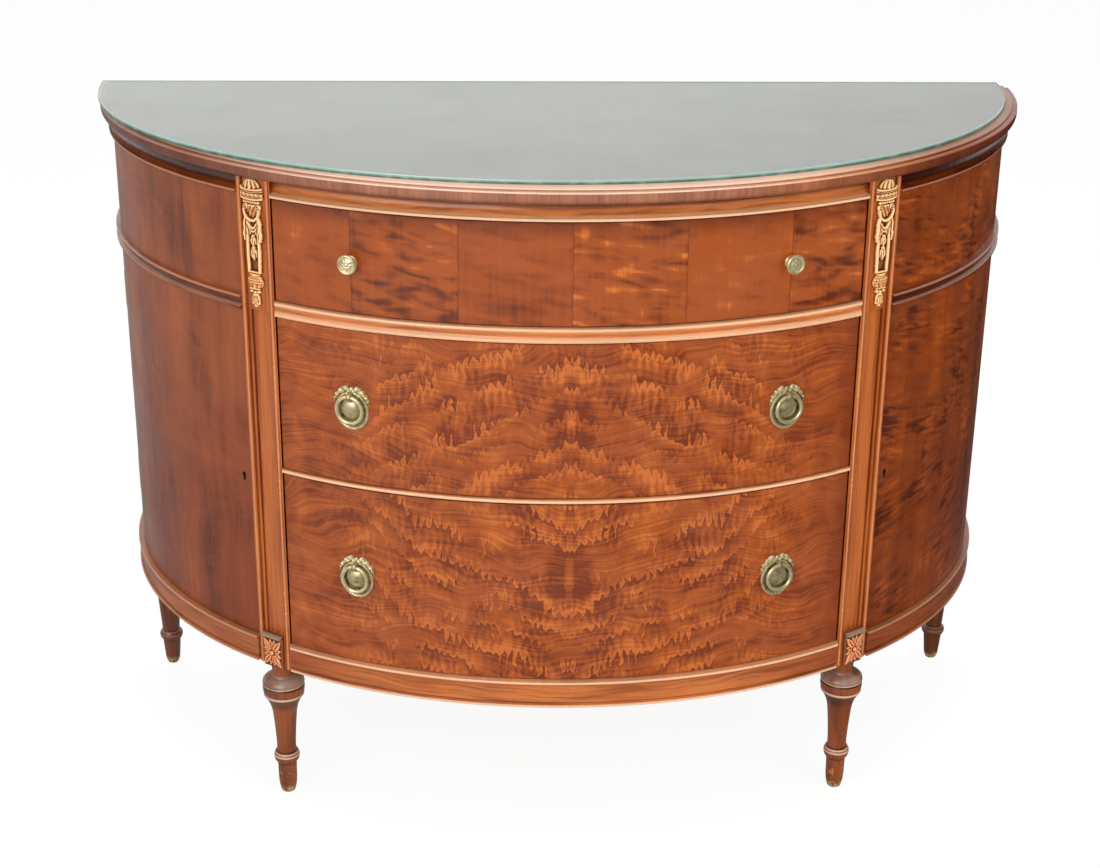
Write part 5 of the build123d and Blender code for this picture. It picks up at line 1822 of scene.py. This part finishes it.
@dataclass
class RosetteBlocks:
    """The square blocks with a leafy rosette at the feet of the pilasters."""

    half_width: float = 15.5
    thickness: float = 7.0
    cap_height: float = 5.0
    cap_reach: float = 10.0
    leaves: int = 12
    long_leaf: tuple[float, float, float] = (20.0, 9.6, 4.0)
    short_leaf: tuple[float, float, float] = (14.6, 7.4, 3.0)
    leaf_start: float = 2.6
    floor_depth: float = 2.2
    cell: float = 0.36
    top: float = high_corner("rosette_blocks").z

    def build(self, finishes: Finishes) -> bpy.types.Object:
        """Carves the rosette, sets it on both pilasters and gives the piece."""
        foot = CASE.pilaster_bottom
        head = self.top - self.cap_height
        middle = (foot + head) / 2
        carver = Carver(self.half_width, foot, self.top, self.cell)
        inside = (np.abs(carver.u) < self.half_width) & (carver.v < head - 0.2)
        floor = self.thickness - self.floor_depth
        carver.fill(inside, floor)
        petals = np.zeros_like(carver.u)
        stretch = (head - foot) / 2 / self.half_width
        for number in range(self.leaves):
            angle = math.radians(360.0 / self.leaves * number + 45.0)
            reach, wide, high = self.short_leaf if number % 3 else self.long_leaf
            way = (math.cos(angle), math.sin(angle) * stretch)
            base = (way[0] * self.leaf_start, middle + way[1] * self.leaf_start)
            tip = (way[0] * reach, middle + way[1] * reach)
            petals = np.maximum(petals, carver.leaf(base, tip, wide, high))
        petals = np.maximum(petals, carver.dome((0.0, middle), (3.4, 3.6), 4.6))
        ring = np.exp(-((np.hypot(carver.u, carver.v - middle) - 3.8) ** 2) / 0.35)
        petals = np.where(petals > 0.0, petals - 1.1 * ring, 0.0)
        carver.fill(inside & (petals > 0.05), floor + petals)
        edge = (carver.v - head) / self.cap_height
        cap = (np.abs(carver.u) < self.half_width) & (edge > 0.0) & (edge < 1.0)
        bulge = np.clip(1.0 - np.abs(2.0 * edge - 1.0) ** 3.0, 0.0, None) ** 0.35
        carver.fill(cap, self.cap_reach * bulge)
        gilt = np.where((petals > 0.05) & (carver.v < head - 0.3), 1.0, 0.0)
        shape = carver.shape(gilt, 9.0)
        place = CASE.pilaster_matrix(0.0)
        piece = shape.finish("rosette_relief", (place, mirrored(place)), finishes.carving, 60.0)
        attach(piece, "case")
        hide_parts("rosette_blocks")
        return piece


# Beads on a path


class BeadTree:
    """A geometry tree that sets small domed beads along a path."""

    unevenness = 0.12

    def __init__(self) -> None:
        """Builds the tree with its named inputs."""
        self.tree = bpy.data.node_groups.new("beads_on_path", "GeometryNodeTree")
        new_socket(self.tree, "Path", "Geometry")
        kinds = {"Radius": "Float", "Count": "Int", "Unevenness": "Float", "Finish": "Material"}
        self.inputs = {name: new_socket(self.tree, name, kind) for name, kind in kinds.items()}
        new_socket(self.tree, "Beads", "Geometry", "OUTPUT")
        graph = Graph(self.tree)
        given = {s.name: Value(graph, s) for s in graph.node("NodeGroupInput").outputs}
        curve = graph.made("GeometryNodeMeshToCurve", {"Mesh": given["Path"]})
        spacing = {"Curve": curve, "Count": given["Count"]}
        spaced = graph.made("GeometryNodeResampleCurve", spacing, mode="COUNT")
        sizing = {"Subdivisions": 2, "Radius": given["Radius"]}
        bead = graph.made("GeometryNodeMeshIcoSphere", sizing)
        uneven = given["Unevenness"]
        limits = {"Seed": 7, 2: 1.0 - uneven, 3: uneven + 1.0}
        size = graph.made("FunctionNodeRandomValue", limits, 1, data_type="FLOAT")
        placing = {"Points": spaced, "Instance": bead, "Scale": size}
        placed = graph.made("GeometryNodeInstanceOnPoints", placing)
        real = graph.made("GeometryNodeRealizeInstances", {0: placed})
        dressing = {"Geometry": real, "Material": given["Finish"]}
        dressed = graph.made("GeometryNodeSetMaterial", dressing)
        graph.put(graph.node("NodeGroupOutput").inputs[0], dressed)

    def lay(
        self,
        path: Sequence[Point],
        matrices: Sequence[Matrix],
        radius: float,
        count: int,
        finish: bpy.types.Material,
    ) -> bpy.types.Object:
        """Sets beads along copies of a closed path.

        Args:
            path: Points of the path, in local millimetres.
            matrices: Where each copy stands.
            radius: Radius of a bead, in millimetres.
            count: Number of beads on each copy.
            finish: Material of the beads.

        Returns:
            A plain mesh object with its place in its mesh.
        """
        points: list[Vector] = []
        edges: list[tuple[int, int]] = []
        for matrix in matrices:
            start = len(points)
            points += [(matrix @ Vector(point)) * MM for point in path]
            edges += [(start + n, start + (n + 1) % len(path)) for n in range(len(path))]
        line = bpy.data.meshes.new("bead_path")
        line.from_pydata(points, edges, [])
        holder = linked("bead_path", line)
        modifier = holder.modifiers.new("beads", "NODES")
        modifier.node_group = self.tree
        values = (radius * MM, count, self.unevenness, finish)
        for name, value in zip(self.inputs, values):
            modifier[self.inputs[name].identifier] = value
        evaluated = holder.evaluated_get(bpy.context.evaluated_depsgraph_get())
        mesh = bpy.data.meshes.new_from_object(evaluated)
        holder.modifiers.remove(modifier)
        bpy.data.objects.remove(holder)
        mesh.shade_smooth()
        return linked("beads", mesh)


def oval(half_width: float, half_height: float, level: float, count: int = 96) -> list[Point]:
    """Gives points round an oval that lies at one height."""
    return [
        (half_width * math.cos(a), half_height * math.sin(a), level) for a in turn_angles(count)
    ]


# Handles


@dataclass
class DrawerKnobs:
    """The two brass knobs of the top drawer, with their studs and nuts."""

    across: float = 262.096
    head_radius: float = 12.2
    level: float = (low_corner("drawer_1_knobs") + high_corner("drawer_1_knobs")).z / 2

    def build(self, finishes: Finishes, beads: BeadTree) -> bpy.types.Object:
        """Turns the knobs, sets them on the drawer and gives the piece."""
        shape = Shape()
        foot = [(0.0, 0.02), (8.3, 0.02), (8.5, 0.5), (8.3, 1.3), (7.6, 1.8), (6.6, 2.0)]
        neck = [(5.6, 2.6), (5.2, 4.0), (5.3, 6.0), (6.0, 7.0), (7.6, 7.8), (9.6, 8.6)]
        neck += [(11.2, 9.6), (12.0, 10.8)]
        rim = [(12.2, 12.0), (12.0, 13.2), (11.5, 14.0), (10.8, 14.4), (10.1, 14.3), (9.5, 13.6)]
        dome = [(8.8, 12.9), (7.9, 12.8), (7.0, 13.3), (5.8, 14.0), (4.6, 14.5), (3.4, 14.7)]
        button = [(2.8, 14.4), (2.4, 14.3), (1.9, 14.7), (1.0, 14.95), (0.0, 15.0)]

        def petals(angle: float, ring: int) -> float:
            """Raises eight petals round the middle of the head."""
            return 0.28 * math.cos(8 * angle) if 21 <= ring <= 25 else 0.0

        shape.lathe(foot + neck + rim + dome + button, 64, ripple=petals, tarnish=0.0)
        shape.lathe(fixing_profile(), 24, tarnish=0.5)
        places = handle_places(self.across, self.level)
        knobs = shape.finish("knob_bodies", places, finishes.brass, 50.0)
        inner = beads.lay(oval(8.8, 8.8, 12.9, 72), places, 0.5, 42, finishes.brass)
        outer = self.head_radius - 0.5
        edge = beads.lay(oval(outer, outer, 12.4, 72), places, 0.45, 60, finishes.brass)
        piece = merged("drawer_knobs", [knobs, inner, edge])
        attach(piece, "drawer_1_body")
        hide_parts("drawer_1_knobs")
        return piece


def handle_places(across: float, level: float) -> list[Matrix]:
    """Gives the places of a drawer's two handles on its bowed front."""
    return [CASE.face_matrix(side * across, level) for side in SIDES]


def fixing_profile() -> list[tuple[float, float]]:
    """Gives the profile of a stud through the drawer's front with its nut inside."""
    nut_start = -20.1
    end = nut_start - 3.0
    tip = [(0.0, end - 2.0), (1.7, end - 2.0), (2.2, end - 1.5), (2.2, end), (4.6, end)]
    nut = [(5.0, end + 0.4), (5.0, nut_start - 0.4), (4.6, nut_start), (2.2, nut_start)]
    return tip + nut + [(2.2, 0.0), (0.0, 0.0)]


@dataclass
class RingPullPlates:
    """The oval plates with a garland above, that the ring pulls hang on."""

    drawer: int
    across: float = 266.056
    half_width: float = 22.5
    half_height: float = 25.0
    plate_face: float = 1.6
    rim_top: float = 3.2
    boss_radius: float = 14.0
    boss_top: float = 9.6
    boss_lift: float = 3.0
    bar_level: float = 19.248
    bar_radius: float = 2.3
    stand_off: float = 9.0
    lug_width: float = 6.0
    lug_radius: float = 3.85
    lug_cap: float = 1.6
    lug_cap_angle: float = 0.9
    lug_shoulder: float = 5.45
    lug_sink: float = 0.4

    def build(self, finishes: Finishes, beads: BeadTree) -> bpy.types.Object:
        """Forms both plates of one drawer and gives the piece."""
        node = f"drawer_{self.drawer}_pull_plates"
        shape = Shape()
        self.plate(shape)
        self.garland(shape)
        self.lug(shape)
        places = handle_places(self.across, low_corner(node).z + self.half_height)
        body = shape.finish("plate_bodies", places, finishes.brass, 45.0)
        wide = self.half_width - 0.9
        high = self.half_height - 0.9
        edge = beads.lay(oval(wide, high, 2.3), places, 0.85, 60, finishes.brass)
        inside = oval(wide - 3.1, high - 3.1, self.plate_face)
        inner = beads.lay(inside, places, 0.45, 96, finishes.brass)
        piece = merged(f"drawer_{self.drawer}_plates", [body, edge, inner])
        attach(piece, f"drawer_{self.drawer}_body")
        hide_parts(node)
        return piece

    def plate(self, shape: Shape) -> None:
        """Forms the oval with its leafy rim, its smooth boss and its stud."""
        face = self.plate_face
        top = self.rim_top
        rim = [(0.0, 0.02), (1.0, 0.02), (1.0, 1.0), (0.985, 1.9), (0.965, 2.6), (0.94, top - 0.3)]
        rim += [(0.915, top - 0.25), (0.89, 2.6), (0.87, 2.1), (0.85, face + 0.15)]
        rim += [(0.82, face), (0.0, face)]

        def twist(angle: float, ring: int) -> float:
            """Raises slanting leaves round the border."""
            return 0.26 * math.cos(26 * angle + 1.3 * ring) if 3 <= ring <= 8 else 0.0

        profile = [(radius * self.half_width, height) for radius, height in rim]
        squash = (1.0, self.half_height / self.half_width)
        start = len(shape.points)
        shape.lathe(profile, 156, squash=squash, ripple=twist, tarnish=0.1)
        for number in range(start, len(shape.points)):
            across, up, out = shape.points[number]
            reach = math.hypot(across / self.half_width, up / self.half_height)
            if reach < 0.875 and out < 2.0:
                shape.marks["tarnish"][number] = 0.85
        boss = []
        for share in (1.0, 0.985, 0.96, 0.92, 0.86, 0.78, 0.68, 0.56, 0.42, 0.26, 0.12, 0.0):
            rise = (1.0 - share**2.4) ** 0.62
            boss.append((share * self.boss_radius, face - 0.1 + (self.boss_top - face) * rise))
        shape.lathe(boss, 56, centre=(0.0, self.boss_lift), tarnish=0.42)
        shape.lathe(fixing_profile(), 24, tarnish=0.5)

    def garland(self, shape: Shape) -> None:
        """Forms the garland of berries and leaves over the plate."""
        berries = [(7.6, 28.6, 3.9), (14.2, 24.6, 3.7), (19.4, 19.4, 3.0), (3.4, 26.0, 2.8)]
        berries += [(11.2, 25.0, 2.5), (17.2, 21.6, 2.3), (11.6, 29.0, 2.0), (22.0, 14.8, 2.0)]
        berry = ((1.0, 0.3), (1.0, 1.6), (0.88, 2.9), (0.55, 3.9), (0.0, 4.3))

        def lobes(angle: float, ring: int) -> float:
            """Cuts the berries into five lobes."""
            return 0.3 * math.cos(5 * angle) if ring in (2, 3) else 0.0

        for side in SIDES:
            stem = [(side * 1.0, 27.0, 1.5), (side * 8.0, 26.6, 1.8), (side * 16.0, 21.4, 1.8)]
            stem += [(side * 21.8, 15.0, 1.6), (side * 23.4, 9.5, 1.2)]
            path = smooth_path(stem, 5)
            shape.tube(path, lambda share: (2.0 - 0.9 * share, 1.3), 10, tarnish=0.4)
            for across, up, size in berries:
                centre = (side * across, up)
                rounds = [(size * share, rise) for share, rise in berry]
                shape.lathe(rounds, 20, centre=centre, ripple=lobes, tarnish=0.0)
        knot = ((3.2, 0.3), (3.3, 1.8), (2.7, 2.9), (1.4, 3.5), (0.0, 3.7))
        shape.lathe(knot, 20, centre=(0.0, 27.6), tarnish=0.15)

    def lug(self, shape: Shape) -> None:
        """Forms the capped eye that holds the ring's bar."""
        play = 0.12
        edge = 0.5
        half = self.lug_width / 2
        outside = ((-half, edge), (-half + edge, 0.0), (half - edge, 0.0), (half, edge))
        rings: list[list[Point]] = []
        for across, inset in outside + ((half, None), (-half, None)):
            ring = []
            for angle in turn_angles(40):
                inner = inset is None
                reach = self.bar_radius + play if inner else self.lug_reach(angle) - inset
                up = self.bar_level + reach * math.cos(angle)
                ring.append((across, up, self.stand_off + reach * math.sin(angle)))
            rings.append(ring)
        shape.skin(rings, closed=True, tarnish=0.62)

    def lug_reach(self, angle: float) -> float:
        """Gives how far the eye reaches from the bar, out to the plate behind it."""
        up, out = math.cos(angle), math.sin(angle)
        if out >= 0.0:
            cap = self.lug_cap * max(0.0, 1.0 - angle / self.lug_cap_angle)
            return self.lug_radius + (cap if up > 0.0 else 0.0)
        side = self.lug_shoulder if up > 0.0 else self.lug_radius
        back = (self.stand_off - self.plate_face + self.lug_sink) / -out
        return min(back, side / max(abs(up), TINY))


def smooth_path(corners: Sequence[Point], steps: int) -> list[Point]:
    """Runs a smooth line through a few points.

    Args:
        corners: Points that the line passes.
        steps: Number of points for each stretch.

    Returns:
        Points along the line.
    """
    line = [Vector(corner) for corner in corners]
    found: list[Point] = []
    for number in range(len(line) - 1):
        before = line[max(number - 1, 0)]
        a, b = line[number], line[number + 1]
        after = line[min(number + 2, len(line) - 1)]
        for step in range(steps):
            t = step / steps
            square = (2 * before - 5 * a + 4 * b - after) * t * t
            cube = (3 * a - before - 3 * b + after) * t**3
            found.append(tuple(0.5 * (2 * a + (b - before) * t + square + cube)))
    found.append(tuple(line[-1]))
    return found


# The rest of the cabinet


@dataclass
class FrontLegs:
    """The two turned front legs, with their dome, grooved bulb, bead and collar."""

    def build(self, finishes: Finishes) -> bpy.types.Object:
        """Turns the leg, sets both up and gives the piece."""
        low, high = low_corner("leg_front_right"), high_corner("leg_front_right")
        widest = (high.x - low.x) / 2
        toe = [(0.0, 0.0), (8.2, 0.0), (9.2, 1.0), (10.4, 5.0), (11.4, 10.0)]
        foot = [(12.1, 16.0), (12.4, 24.0)]
        ankle = [(12.5, 34.0), (12.7, 43.0), (13.0, 46.4), (14.4, 47.6), (16.0, 50.0), (16.9, 53.0)]
        collar = [(17.3, 56.0), (17.0, 58.4), (16.3, 59.8), (15.9, 60.4), (15.8, 61.2), (15.2, 62.4)]
        shaft = [(13.4, 63.2), (12.8, 65.0), (12.8, 76.0), (13.6, 92.0), (14.6, 106.0), (15.6, 117.0)]
        cove = [(16.4, 125.0), (17.5, 131.0), (19.2, 137.0), (21.6, 142.4), (23.8, 146.4), (25.0, 148.6)]
        bead = [(25.4, 149.2), (26.5, 150.2), (27.1, 151.6), (27.0, 153.2), (26.4, 154.2), (26.3, 154.6)]
        bulb = [(27.3, 156.2), (27.9, 159.5), (28.0, 162.5), (27.6, 164.6), (26.5, 165.4), (26.2, 166.0)]
        dome = [(26.6, 166.6), (27.9, 167.6), (28.0, 170.2), (27.2, 173.2), (25.2, 175.8), (22.0, 177.8)]
        seat = CASE.pilaster_bottom
        neck = [(18.4, 178.9), (15.8, 179.6), (14.6, 181.6), (14.5, 187.0), (15.2, seat)]
        dowel = [(8.0, seat), (8.0, high.z), (0.0, high.z)]
        profile = toe + foot + ankle + collar + shaft + cove + bead + bulb + dome + neck + dowel
        shape = Shape()
        shape.lathe([(min(radius, widest), level) for radius, level in profile], 72)
        middle = (low + high) / 2
        place = Matrix.Translation(Vector((middle.x, middle.y, 0.0)))
        piece = shape.finish("front_leg_turnings", (place, mirrored(place)), finishes.leg, 32.0)
        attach(piece, "case")
        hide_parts("leg_front_left", "leg_front_right")
        return piece


@dataclass
class GlassTop:
    """The loose glass sheet, with a ground rim that shows its green edge."""

    arris: float = 1.0
    lift: float = 0.15
    steps: int = 240

    def build(self, finishes: Finishes) -> bpy.types.Object:
        """Makes the sheet and gives the piece."""
        low, high = low_corner("glass_top"), high_corner("glass_top")
        shift = (low.x + high.x) / 2
        half_width = (high.x - low.x) / 2
        depth = high.y - low.y
        bottom = low.z + self.lift
        top = high.z
        rings = (
            (0.0, bottom),
            (0.0, top - self.arris),
            (self.arris * 0.4, top - self.arris * 0.25),
            (self.arris, top),
        )
        points: list[Point] = []
        loops: list[list[int]] = []
        for inset, level in rings:
            loop = []
            for step in range(self.steps + 1):
                angle = math.pi + math.pi * step / self.steps
                loop.append(len(points))
                x = shift + (half_width - inset) * math.cos(angle)
                y = high.y + (depth - inset) * math.sin(angle)
                points.append((x, min(y, high.y), level))
            loops.append(loop)
        rim = list(ring_faces(loops))
        faces = rim + [tuple(loops[-1]), tuple(reversed(loops[0]))]
        mesh = bpy.data.meshes.new("glass_sheet")
        mesh.from_pydata([tuple(c * MM for c in p) for p in points], [], faces)
        mesh.materials.append(finishes.glass)
        mesh.materials.append(finishes.glass_rim)
        for polygon in mesh.polygons[: len(rim)]:
            polygon.material_index = 1
        mesh.validate()
        piece = linked("glass_sheet", mesh)
        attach(piece, "case")
        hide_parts("glass_top")
        return piece


@dataclass
class CabinetWood:
    """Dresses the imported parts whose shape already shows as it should."""

    def dress(self, finishes: Finishes) -> int:
        """Gives each kept part its finish and counts them.

        Args:
            finishes: Every material.

        Returns:
            How many parts were dressed.
        """
        plan: dict[str, bpy.types.Material] = {
            "drawer_1_front": finishes.segments,
            "drawer_2_front": finishes.flame,
            "drawer_3_front": finishes.flame,
            "top_board": finishes.top,
        }
        groups = (
            (finishes.side, ("door_left", "door_right", "frieze_left", "frieze_right")),
            (finishes.moulding, ("cornice_mouldings", "belt_mouldings", "mid_rail")),
            (finishes.moulding, ("divider_rail", "base_front_rail", "base_side_rails")),
            (finishes.pilaster, ("pilaster_left", "pilaster_right")),
            (finishes.leg, ("leg_rear_left", "leg_rear_right")),
            (finishes.upright, ("partition_left", "partition_right", "rear_post_left")),
            (finishes.upright, ("rear_post_right", "back_panel")),
            (finishes.liner, ("keyhole_liner_left", "keyhole_liner_right")),
            (finishes.steel, ("lock_bolt_left", "lock_bolt_right")),
        )
        for material, names in groups:
            for name in names:
                plan[name] = material
        count = 0
        for name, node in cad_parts.items():
            words = name.split("_")
            brass = "ring" in words or "lock" in words or "hinge" in words
            material = plan.get(name, finishes.brass if brass else finishes.plain)
            node.data.materials.clear()
            node.data.materials.append(material)
            count += 1
        return count


@dataclass
class Studio:
    """The floor, the lights, the background and the camera."""

    focal_pixels: float = 2015.28
    frame_pixels: float = 1100.0
    place: Point = (-0.0997, -2.489, 1.5183)
    yaw: float = 0.0331
    pitch: float = -0.3980
    roll: float = 0.0096
    bright_until: float = -1.2
    dark_from: float = 1.6
    floor_glow: tuple[float, float] = (0.36, 0.03)
    seen_glow: float = 1.06
    soft_light: float = 0.6
    backdrop: float = 1.0

    def build(self) -> None:
        """Sets up everything round the cabinet."""
        self.floor()
        self.lamp("key", (-1.9, -3.2, 2.5), (0.0, 0.0, 0.5), 2.6, 66.0)
        self.lamp("fill", (2.4, -2.9, 2.1), (0.0, 0.0, 0.5), 2.4, 56.0).visible_glossy = False
        self.lamp("top", (0.0, 0.4, 3.0), (0.0, 0.0, 0.8), 2.4, 36.0).visible_glossy = False
        self.background()
        self.camera()
        bpy.context.scene.view_settings.view_transform = "Standard"

    def floor(self) -> None:
        """Makes the pale floor, which keeps the cabinet's shadow."""
        mesh = bpy.data.meshes.new("floor")
        half = 12.0
        corners = [(-half, -half, 0), (half, -half, 0), (half, half, 0), (-half, half, 0)]
        mesh.from_pydata(corners, [], [(0, 1, 2, 3)])
        piece = linked("floor", mesh)
        material = bpy.data.materials.new("pale_floor")
        material.use_nodes = True
        graph = Graph(material.node_tree)
        shader = material.node_tree.nodes["Principled BSDF"]
        shader.inputs["Base Color"].default_value = (0.86, 0.86, 0.86, 1.0)
        shader.inputs["Roughness"].default_value = 0.9
        shiny = graph.rays("Glossy")
        seen = graph.rays("Camera", "Transmission")
        across = graph.split(graph.place())[0]
        shown = graph.span(across, self.bright_until, self.dark_from, *self.floor_glow)
        strength = graph.blend(shiny, self.seen_glow, shown)
        glow = graph.made("ShaderNodeEmission", {"Strength": strength})
        graph.layer(graph.math("MAXIMUM", seen * 0.84, shiny), glow)
        mesh.materials.append(material)

    def lamp(
        self, name: str, place: Point, aim: Point, size: float, power: float
    ) -> bpy.types.Object:
        """Adds a soft square lamp.

        Args:
            name: Name of the lamp.
            place: Where it hangs.
            aim: What it points at.
            size: Side of its square.
            power: Its power in watts.

        Returns:
            The lamp.
        """
        light = bpy.data.lights.new(name, "AREA")
        light.shape = "SQUARE"
        light.size = size
        light.energy = power
        made = linked(name, light)
        made.location = place
        made.rotation_euler = (Vector(aim) - Vector(place)).to_track_quat("-Z", "Y").to_euler()
        return made

    def background(self) -> None:
        """Makes a white background that gives the cabinet an even soft light."""
        world = bpy.data.worlds.new("studio")
        bpy.context.scene.world = world
        world.use_nodes = True
        graph = Graph(world.node_tree)
        shader = world.node_tree.nodes["Background"]
        shader.inputs["Color"].default_value = (1.0, 1.0, 1.0, 1.0)
        seen = graph.rays("Camera", "Transmission")
        x, y = graph.split(graph.place("Generated"))[:2]
        sides = graph.span(x, 0.75, -0.75, 0.03, 0.68)
        behind = graph.span(y, 0.1, 0.7) * graph.span(x, 0.0, 0.3, 1.0, 0.86)
        shown = graph.math("MAXIMUM", sides, behind * self.backdrop)
        plain = graph.blend(seen, self.soft_light, 1.0)
        graph.put(shader.inputs["Strength"], graph.blend(graph.rays("Glossy"), plain, shown))

    def camera(self) -> None:
        """Sets the camera where the photograph was taken."""
        data = bpy.data.cameras.new("camera")
        data.sensor_width = 36.0
        data.lens = self.focal_pixels / self.frame_pixels * data.sensor_width
        made = linked("camera", data)
        ahead = Vector(
            (
                math.sin(self.yaw) * math.cos(self.pitch),
                math.cos(self.yaw) * math.cos(self.pitch),
                math.sin(self.pitch),
            )
        )
        right = Vector((math.cos(self.yaw), -math.sin(self.yaw), 0.0))
        up = right.cross(ahead)
        side = math.cos(self.roll) * right + math.sin(self.roll) * up
        top = math.cos(self.roll) * up - math.sin(self.roll) * right
        turn = Matrix((side, top, -ahead)).transposed().to_4x4()
        made.matrix_world = Matrix.Translation(Vector(self.place)) @ turn
        bpy.context.scene.camera = made


def main() -> None:
    """Builds the looks of the whole cabinet and its studio."""
    logging.basicConfig(level=logging.INFO, format="%(name)s: %(message)s")
    finishes = Finishes()
    beads = BeadTree()
    log.info("dressed %d packed parts", CabinetWood().dress(finishes))
    for piece in (
        GlassTop().build(finishes),
        CarvedDrops().build(finishes),
        RosetteBlocks().build(finishes),
        FrontLegs().build(finishes),
        DrawerKnobs().build(finishes, beads),
        RingPullPlates(2).build(finishes, beads),
        RingPullPlates(3).build(finishes, beads),
    ):
        log.info("made %s with %d faces", piece.name, len(piece.data.polygons))
    Studio().build()


if __name__ == "__main__":
    main()
